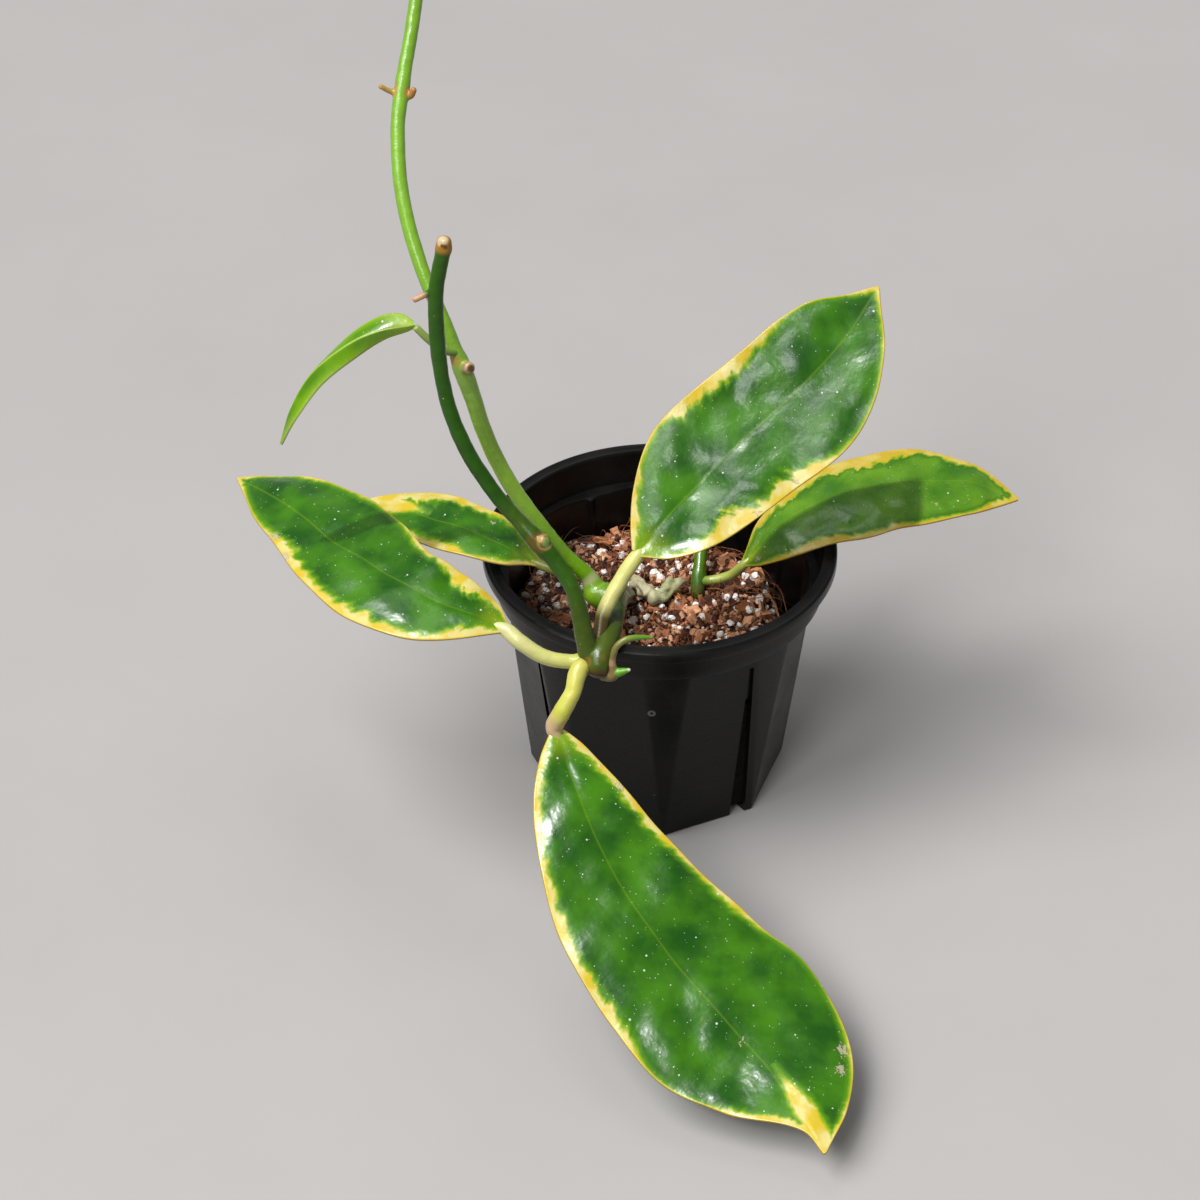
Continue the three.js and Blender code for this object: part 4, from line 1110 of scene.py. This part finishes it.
# rib: points of the midrib, base to tip. face: where the upper side looks, at base and tip. left, right:
# half widths at STATIONS, seen from the base. cream_left, cream_right: depth of the margin at 21 even
# steps. fingers: cream runs along the midrib, as (start, end, offset, half width). scars: (along,
# offset, radius). bulges: (along, offset, radius, height).
BLADES = {
    "left": {
        "rib": [(-42, -50, 86), (-56.5, -46, 90), (-72.5, -36, 92), (-88, -21, 92), (-104, 0, 90),
                (-120, 20.5, 85)],
        "face": [(-0.05, -0.2, 0.97), (-0.2, -0.05, 0.97)],
        "left": [1.6, 4, 8.5, 15, 17, 15.5, 12, 8.5, 3.5, 0.5],
        "right": [1.6, 7, 11, 12.5, 14.5, 18, 18, 13.5, 7, 0.5],
        "cream_left": [1.2, 2, 3.6, 4, 2, 2.4, 2.9, 3.4, 4.2, 3.2, 2.7, 2.8, 3.2, 3.6, 3.3, 2, 1, 0.7, 0.5,
                       1.4, 3],
        "cream_right": [1.2, 4, 4.2, 5.6, 6.4, 4.6, 2.6, 2.2, 2.4, 2, 1.5, 0.8, 0.7, 0.6, 1.4, 1, 1, 2.4, 1.2,
                        1.8, 3],
        "cup": -0.1, "thickness": 1.4,
        "scars": [(0.6, -12, 1.7), (0.68, -9.6, 2.2), (0.7, -11, 1.2)],
        "bulges": [(0.25, 10.6, 8, 1.4), (0.55, -3, 16, -0.5), (0.8, 2, 13, 0.4)],
    },
    "front": {
        "rib": [(-28.5, -66, 64), (-20.5, -87, 52), (-9, -106, 39), (8, -125, 26), (26, -144, 16),
                (40, -169, 11)],
        "face": [(0.1, -0.3, 0.9), (0.1, -0.35, 0.93)],
        "left": [1.8, 6.5, 12, 17.5, 22, 26, 29, 22.5, 11.5, 0.5],
        "right": [1.8, 6.5, 12, 17.5, 22, 24, 24, 16, 2, 0.5],
        "cream_left": [1.5, 3, 2.8, 2.6, 2.8, 3, 3, 2.2, 1.6, 1.8, 2.6, 2.2, 0.5, 0.3, 0.3, 0.3, 1, 1.4,
                       1, 1.6, 3],
        "cream_right": [1.5, 2.4, 2.6, 2.6, 2.6, 2.5, 2.6, 2.9, 3, 3.2, 3.4, 3.6, 2.8, 0.5, 0.4, 0.4, 0.4,
                        2.6, 3.3, 3, 3],
        "cup": -0.08, "thickness": 1.5, "fingers": [(0.8, 1, -1.6, 3.2)],
        "scars": [(0.145, -11.6, 1.8), (0.825, -20, 2.2), (0.855, -16.5, 2.0), (0.72, 0.5, 1.2)],
        "bulges": [(0.42, -11, 16, 0.7), (0.6, 9, 14, -0.5), (0.8, -8, 13, 0.5)],
    },
    "upright": {
        "rib": [(-7, -36.5, 101), (5, -26.5, 110.5), (20.5, -17, 123), (37.5, -8, 136), (49, 0, 146),
                (58, 9.5, 156)],
        "face": [(-0.1, -0.7, 0.7), (-0.15, -0.75, 0.6)],
        "left": [1.8, 6, 12, 19, 19, 18, 17, 13, 5, 0.5],
        "right": [1.8, 8, 13.5, 17.5, 19.5, 21, 17.5, 10.5, 4, 0.5],
        "cream_left": [1.5, 3, 3, 2.2, 1.8, 1.4, 1, 4.4, 3.6, 4.2, 5, 3.4, 2.8, 2, 1.2, 0.7, 0.5, 0.6, 0.6,
                       1.6, 3],
        "cream_right": [1.5, 2.6, 2, 3.8, 4.4, 7, 5.6, 3.4, 5, 5, 3.4, 1.5, 0.7, 0.7, 0.8, 0.8, 1, 1.3, 1.2,
                        1.4, 3],
        "cup": 0.05, "thickness": 1.5,
        "scars": [(0.14, 14.6, 1.2), (0.32, 17, 1.0), (0.46, 18, 1.2)],
        "bulges": [(0.36, 8, 13, 0.6), (0.78, -6, 15, 0.7), (0.55, -2, 15, -0.4)],
    },
    "right": {
        "rib": [(24, 2.5, 68), (34, 7, 78.5), (50, 13.5, 83.5), (66, 16.5, 86.5), (85, 16, 86.5),
                (102, 14.5, 82)],
        "face": [(0, -0.1, 1), (0, -0.1, 1)],
        "left": [1.4, 3, 6, 9, 13, 14, 14, 10, 5, 0.5],
        "right": [1.4, 5.5, 10.5, 15, 18, 19, 17, 12, 5, 0.5],
        "cream_left": [1, 0.5, 1.2, 2.5, 3, 3.6, 4, 4.2, 4.6, 6.3, 7.3, 7.2, 6.2, 4.4, 2.8, 3, 3.4, 1.8, 2.8,
                       3, 3],
        "cream_right": [1, 1.5, 2.2, 2.6, 2.8, 3.4, 3.6, 3.2, 2.6, 2, 1.6, 2.2, 2, 1.6, 1.4, 1.4, 1.2, 1, 2.8,
                        3, 3],
        "cup": -0.05, "thickness": 1.4,
        "scars": [(0.05, 3, 1.3), (0.72, 9.8, 0.8)],
        "bulges": [(0.5, 6, 14, 0.4), (0.8, 0, 12, 0.3)],
    },
    "folded": {
        "rib": [(-65.5, -14, 159), (-75, -15.5, 158), (-83.5, -16.5, 154), (-93, -18, 146),
                (-98.5, -20.5, 137), (-102, -21, 126)],
        "face": [(-0.1, -0.93, 0.37), (-0.85, 0.3, 0.5)],
        "left": [1, 1.8, 2.4, 3, 3.3, 3.4, 3.2, 2.6, 1.5, 0.5],
        "right": [1, 3, 3.8, 3.6, 3.2, 2.8, 2.4, 1.8, 1, 0.5],
        "cup": 0, "fold": -0.8, "thickness": 1,
    },
    "back": {
        "rib": [(-33.5, -12.5, 79.5), (-46, -7.5, 83), (-59, -0.5, 84), (-72, 7, 83.5), (-88, 13, 80)],
        "face": [(0, -0.1, 0.99), (-0.1, -0.1, 0.99)],
        "left": [1.4, 2.5, 5.5, 8, 9.5, 9.5, 10, 8.5, 4, 0.5],
        "right": [1.4, 3, 7, 10.5, 11.5, 11.5, 9.5, 7, 4, 0.5],
        "cream_left": [1, 1.5, 2, 1.5, 1.5, 1.2, 0.9, 1.6, 3, 3.6, 3, 2.5, 2.6, 3, 3.4, 4, 4, 4, 4, 4, 3],
        "cream_right": [1, 1.2, 1.4, 1.6, 1.8, 2, 2, 2.4, 3, 3, 4, 4.2, 5, 4, 6, 6, 6, 6, 5, 4, 3],
        "cup": -0.05, "thickness": 1.2, "fingers": [(0.62, 1, 1.5, 4)],
        "scars": [(0.3, 6.6, 0.9)], "bulges": [(0.4, 0, 10, 0.4)],
    },
    "hidden": {
        "rib": [(17.5, 24.6, 72.4), (26, 31, 79), (38, 38, 84), (49, 46, 86.5), (58, 53, 86)],
        "face": [(-0.1, -0.2, 0.97), (0, -0.2, 0.97)],
        "left": [1.2, 3, 6, 9, 10, 10, 9, 6.5, 3, 0.5],
        "right": [1.2, 3, 6, 9, 10.5, 10.5, 9, 6.5, 3, 0.5],
        "cream_left": [1, 1, 1.4, 2, 2.4, 2, 1.6, 2.4, 3, 2.2, 1.4, 1, 1, 1.4, 2, 2.2, 1.6, 1.2, 1.4, 2, 3],
        "cream_right": [1, 1, 1.2, 1.2, 1.4, 1, 0.8, 0.6, 0.5, 0.4, 0.4, 0.4, 0.5, 0.6, 1, 1.4, 1.2, 1, 1.4,
                        2, 3],
        "cup": -0.05, "thickness": 1.2,
        "bulges": [(0.5, 3, 10, 0.4)],
    },
}
TIP_WIDTHS = [0.7, 1.1, 1.8, 2.6, 3, 3, 2.6, 1.8, 0.9, 0.4]
TIP_BLADES = {
    "tip_one": {
        "rib": [(-53.4, 72, 258.5), (-56.6, 70.8, 262.6), (-60.2, 69.2, 265.1), (-64.1, 67.2, 266.1)],
        "face": [(0.5, -0.3, 0.8), (0.1, -0.3, 0.95)],
    },
    "tip_two": {
        "rib": [(-52.9, 72.4, 258.5), (-50.6, 74.2, 263.6), (-47.6, 75.8, 267.6), (-44.1, 77.2, 269.7)],
        "face": [(-0.7, -0.4, 0.6), (-0.4, -0.4, 0.8)],
    },
}
for tip in TIP_BLADES.values():
    tip.update(left=TIP_WIDTHS, right=TIP_WIDTHS, cup=0.25, thickness=0.9)


def half_width(values, t):
    """The blade's half width between its stations, by a cubic curve."""
    last = len(STATIONS) - 1
    k = min(max(np.searchsorted(STATIONS, t, side="right") - 1, 0), last - 1)

    def slope(i):
        low, high = max(i - 1, 0), min(i + 1, last)
        return (values[high] - values[low]) / (STATIONS[high] - STATIONS[low])

    span = STATIONS[k + 1] - STATIONS[k]
    u = (t - STATIONS[k]) / span
    width = ((2 * u ** 3 - 3 * u ** 2 + 1) * values[k] + (u ** 3 - 2 * u ** 2 + u) * slope(k) * span
             + (3 * u ** 2 - 2 * u ** 3) * values[k + 1] + (u ** 3 - u ** 2) * slope(k + 1) * span)
    return max(width, 0.3)


def quilting(along, offset, near_edge, seed):
    """Height of the soft pillows between the side veins, in millimetres."""
    sweep = (along - 0.55 * abs(offset)) / VEIN_SPACING
    wander = 0.8 * noise.noise(Vector((along, offset, seed)) * 0.1)
    pillows = 0.5 - 0.5 * math.cos(2 * math.pi * sweep + wander)
    broad = noise.noise(Vector((along * 0.075, offset * 0.11, seed * 3.7)))
    fine = noise.noise(Vector((along * 0.22, offset * 0.3, seed * 5.1)))
    inside = float(step(near_edge, 0.5, 5)) * float(step(abs(offset), 0, 3))
    waves = WAVE_HEIGHT * broad * float(step(near_edge, 0, 6))
    return (PILLOW_HEIGHT * pillows + FINE_HEIGHT * fine) * inside + waves


def off_spot(spot, along, offset, length):
    """Distance from a spot on a blade of this length, as a share of the spot's radius."""
    share, away, radius = spot
    return math.hypot(along - share * length, offset - away) / radius


def blade_shell(name, shape, seed, steps=BLADE_STEPS, strips=BLADE_STRIPS):
    """A closed fleshy blade, whose vertices carry what its finish needs to know."""
    shape = {**PLAIN_BLADE, **shape}
    rib = curve_points(shape["rib"], RIB_STEPS)
    lengths = np.concatenate([[0], np.cumsum(np.linalg.norm(np.diff(rib, axis=0), axis=1))])
    shares = np.linspace(0, 1, len(rib))
    slopes = unit(np.gradient(rib, axis=0))
    across = np.sin(np.linspace(-0.5, 0.5, strips + 1) * math.pi)
    rings, facts = [], []
    for i in range(steps + 1):
        t = (1 - math.cos(i / steps * math.pi)) / 2
        middle = np.array([np.interp(t, shares, rib[:, axis]) for axis in range(3)])
        ahead = unit(np.array([np.interp(t, shares, slopes[:, axis]) for axis in range(3)]))
        facing = unit(np.array(shape["face"][0]) * (1 - t) + np.array(shape["face"][1]) * t)
        side = unit(np.cross(ahead, facing))
        normal = np.cross(side, ahead)
        along = float(np.interp(t, shares, lengths))
        fullness = math.sin(math.pi * min(t + 0.12, 1))
        upper, lower, upper_facts, lower_facts = [], [], [], []
        for a in across:
            which = "left" if a < 0 else "right"
            width = half_width(shape[which], t)
            offset = width * a
            near_edge = width * (1 - abs(a))
            bend = shape["cup"] * a * a + shape["fold"] * (math.sqrt(a * a + 0.01) - 0.1)
            flesh = BLADE_EDGE + (shape["thickness"] - BLADE_EDGE) * (1 - a * a) * fullness
            half = flesh / 2 * math.sqrt(max(1 - (1 - min(near_edge / EDGE_ROUNDING, 1)) ** 2, 0))
            ruffle = math.sin(along / 3.6 + seed * 1.7 + (0 if a < 0 else 2)) * abs(a) ** 4
            rise = quilting(along, offset, near_edge, seed) + RUFFLE_HEIGHT * ruffle
            rise *= min(width / FULL_WIDTH, 1)
            for *spot, height in shape["bulges"]:
                rise += height * float(1 - step(off_spot(spot, along, offset, lengths[-1]), 0, 1))
            groove = math.exp(-(offset / GROOVE_WIDTH) ** 2) * (1 - t)
            base = middle + side * offset + normal * width * bend
            upper.append(base + normal * (rise + half - 0.2 * groove))
            lower.append(base + normal * (rise - half - 0.6 * groove * (1 - 0.3 * t)))
            cream = float(np.interp(t, CREAM_SHARES, shape["cream_" + which]))
            finger = NO_FINGER
            for start, end, away, half_finger in shape["fingers"]:
                grow = float(step(t, start, start + 0.55 * (end - start)))
                if grow > 0:
                    finger = max(finger, half_finger * grow + 0.4 - abs(offset - away))
            scars = [1 - off_spot(spot, along, offset, lengths[-1]) for spot in shape["scars"]]
            facts_here = (along, offset, near_edge, cream, finger, max([0.0, *scars]))
            upper_facts.append((*facts_here, 1.0))
            lower_facts.append((*facts_here, 0.0))
        rings.append(np.array(upper + lower[-2:0:-1]))
        facts.append(np.array(upper_facts + lower_facts[-2:0:-1]))
    piece = lofted(name, rings, merge=False)
    carried = np.vstack([np.vstack(facts), facts[0].mean(axis=0), facts[-1].mean(axis=0)])
    for column, label in enumerate(BLADE_FACTS):
        layer = piece.data.attributes.new(label, "FLOAT", "POINT")
        layer.data.foreach_set("value", carried[:, column].astype(np.float32))
    smooth(piece)
    return piece


def blade_finish(name, rib_share, dark, mid, beside, lime, pale, rim, brown):
    """Leaf skin: clouded green, a ragged border through lime to cream, the rim, specks, scars and gloss."""
    material, shader, place = new_finish(name, 0.34, 0.4)
    along, offset, near_edge, cream, finger, scar, upper = [known(place, label) for label in BLADE_FACTS]
    off_rib = maths("ABSOLUTE", offset)
    swept = minus(along, times(off_rib, 0.6))
    veins = put(place, "CombineXYZ", {"X": swept, "Y": times(offset, 0.2)}).outputs[0]
    flat = put(place, "CombineXYZ", {"X": along, "Y": offset}).outputs[0]

    streaks = minus(cloud(veins, 0.34, 2, 0.5), 0.5)
    ragged = minus(cloud(flat, 0.35, 3, 0.5), 0.5)
    deep = times(cream, plus(times(streaks, 1.3), 0.86))
    border = minus(plus(deep, times(ragged, cream)), near_edge)
    border = larger(border, minus(plus(finger, times(ragged, 2.5)), 0.6))

    depth = plus(times(cloud(flat, 0.07, 3, 0.5), 0.87), times(cloud(veins, 0.22, 3, 0.5), 0.18))
    green = mixed(between(depth, 0.34, 0.74), dark, mid)
    rib = times(between(off_rib, 0.45, 0.05), rib_share)
    green = mixed(larger(rib, between(along, 11, 0)), green, lime)
    green = mixed(times(between(border, -2.2, -0.3), 0.7), green, beside)
    colour = mixed(between(border, -0.7, 0.35), green, lime)
    golden = between(cloud(flat, 0.15, 2, 0.5), 0.4, 0.62)
    colour = mixed(between(border, 0.1, 1.1), colour, mixed(golden, rim, pale))
    gold = times(between(near_edge, 0.9, 0.15), between(cream, 0.2, 0.5))
    colour = mixed(times(gold, 0.6), colour, rim)
    colour = mixed(times(between(near_edge, 0.22, 0.02), 0.6), colour, brown)

    under = times(between(upper, 0.6, 0.4), 0.45)
    colour = mixed(under, colour, paint(132, 160, 92))
    flaky = minus(cloud(flat, 1.1, 3, 0.6), 0.5)
    crust = times(between(plus(scar, times(flaky, 3)), 0.3, 0.55), between(scar, 0, 0.05))
    colour = mixed(times(crust, 0.75), colour, paint(226, 208, 176))
    speck = larger(specks_on(flat, 0.36, 0.8, 0.15), times(specks_on(flat, 0.85, 0.85, 0.19), 0.55))
    colour = mixed(times(speck, between(upper, 0.4, 0.6)), colour, paint(236, 242, 232))
    feed(shader, "Base Color", colour)

    gloss = plus(times(cloud(flat, 0.5, 5, 0.7), 0.2), 0.16)
    gloss = plus(plus(gloss, times(under, 0.35)), times(speck, 0.3))
    feed(shader, "Roughness", gloss)
    skin = plus(cloud(flat, 0.6, 1.5, 0.4), times(cloud(flat, 5, 2), 0.06))
    relief(shader, plus(skin, plus(speck, times(crust, 1.2))), 0.00008)
    return material


margined = blade_finish("variegated_blade", 0.2, paint(24, 92, 0), paint(78, 148, 8), paint(104, 168, 18),
                        paint(164, 198, 26), paint(255, 240, 150), paint(246, 214, 56), paint(160, 116, 50))
light_green = blade_finish("paler_variegated_blade", 0.2, paint(64, 132, 4), paint(124, 184, 36),
                           paint(60, 128, 6), paint(164, 198, 26), paint(250, 226, 110), paint(240, 204, 50),
                           paint(160, 116, 50))
plain_green = blade_finish("young_blade", 0.8, paint(80, 140, 0), paint(126, 188, 0), paint(150, 204, 10),
                           paint(196, 226, 90), paint(200, 220, 110), paint(180, 210, 80),
                           paint(170, 190, 90))
SKINS = {"folded": plain_green, "right": light_green}
for seed, (name, shape) in enumerate(BLADES.items()):
    blade = blade_shell(f"blade_{name}", shape, seed)
    blade.data.materials.append(SKINS.get(name, margined))
    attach(blade, "root")
    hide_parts(f"leaf_{name}")
for name, shape in TIP_BLADES.items():
    blade = blade_shell(f"blade_{name}", shape, 9, 40, 24)
    blade.data.materials.append(plain_green)
    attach(blade, "root")
    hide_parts("vine_stem")
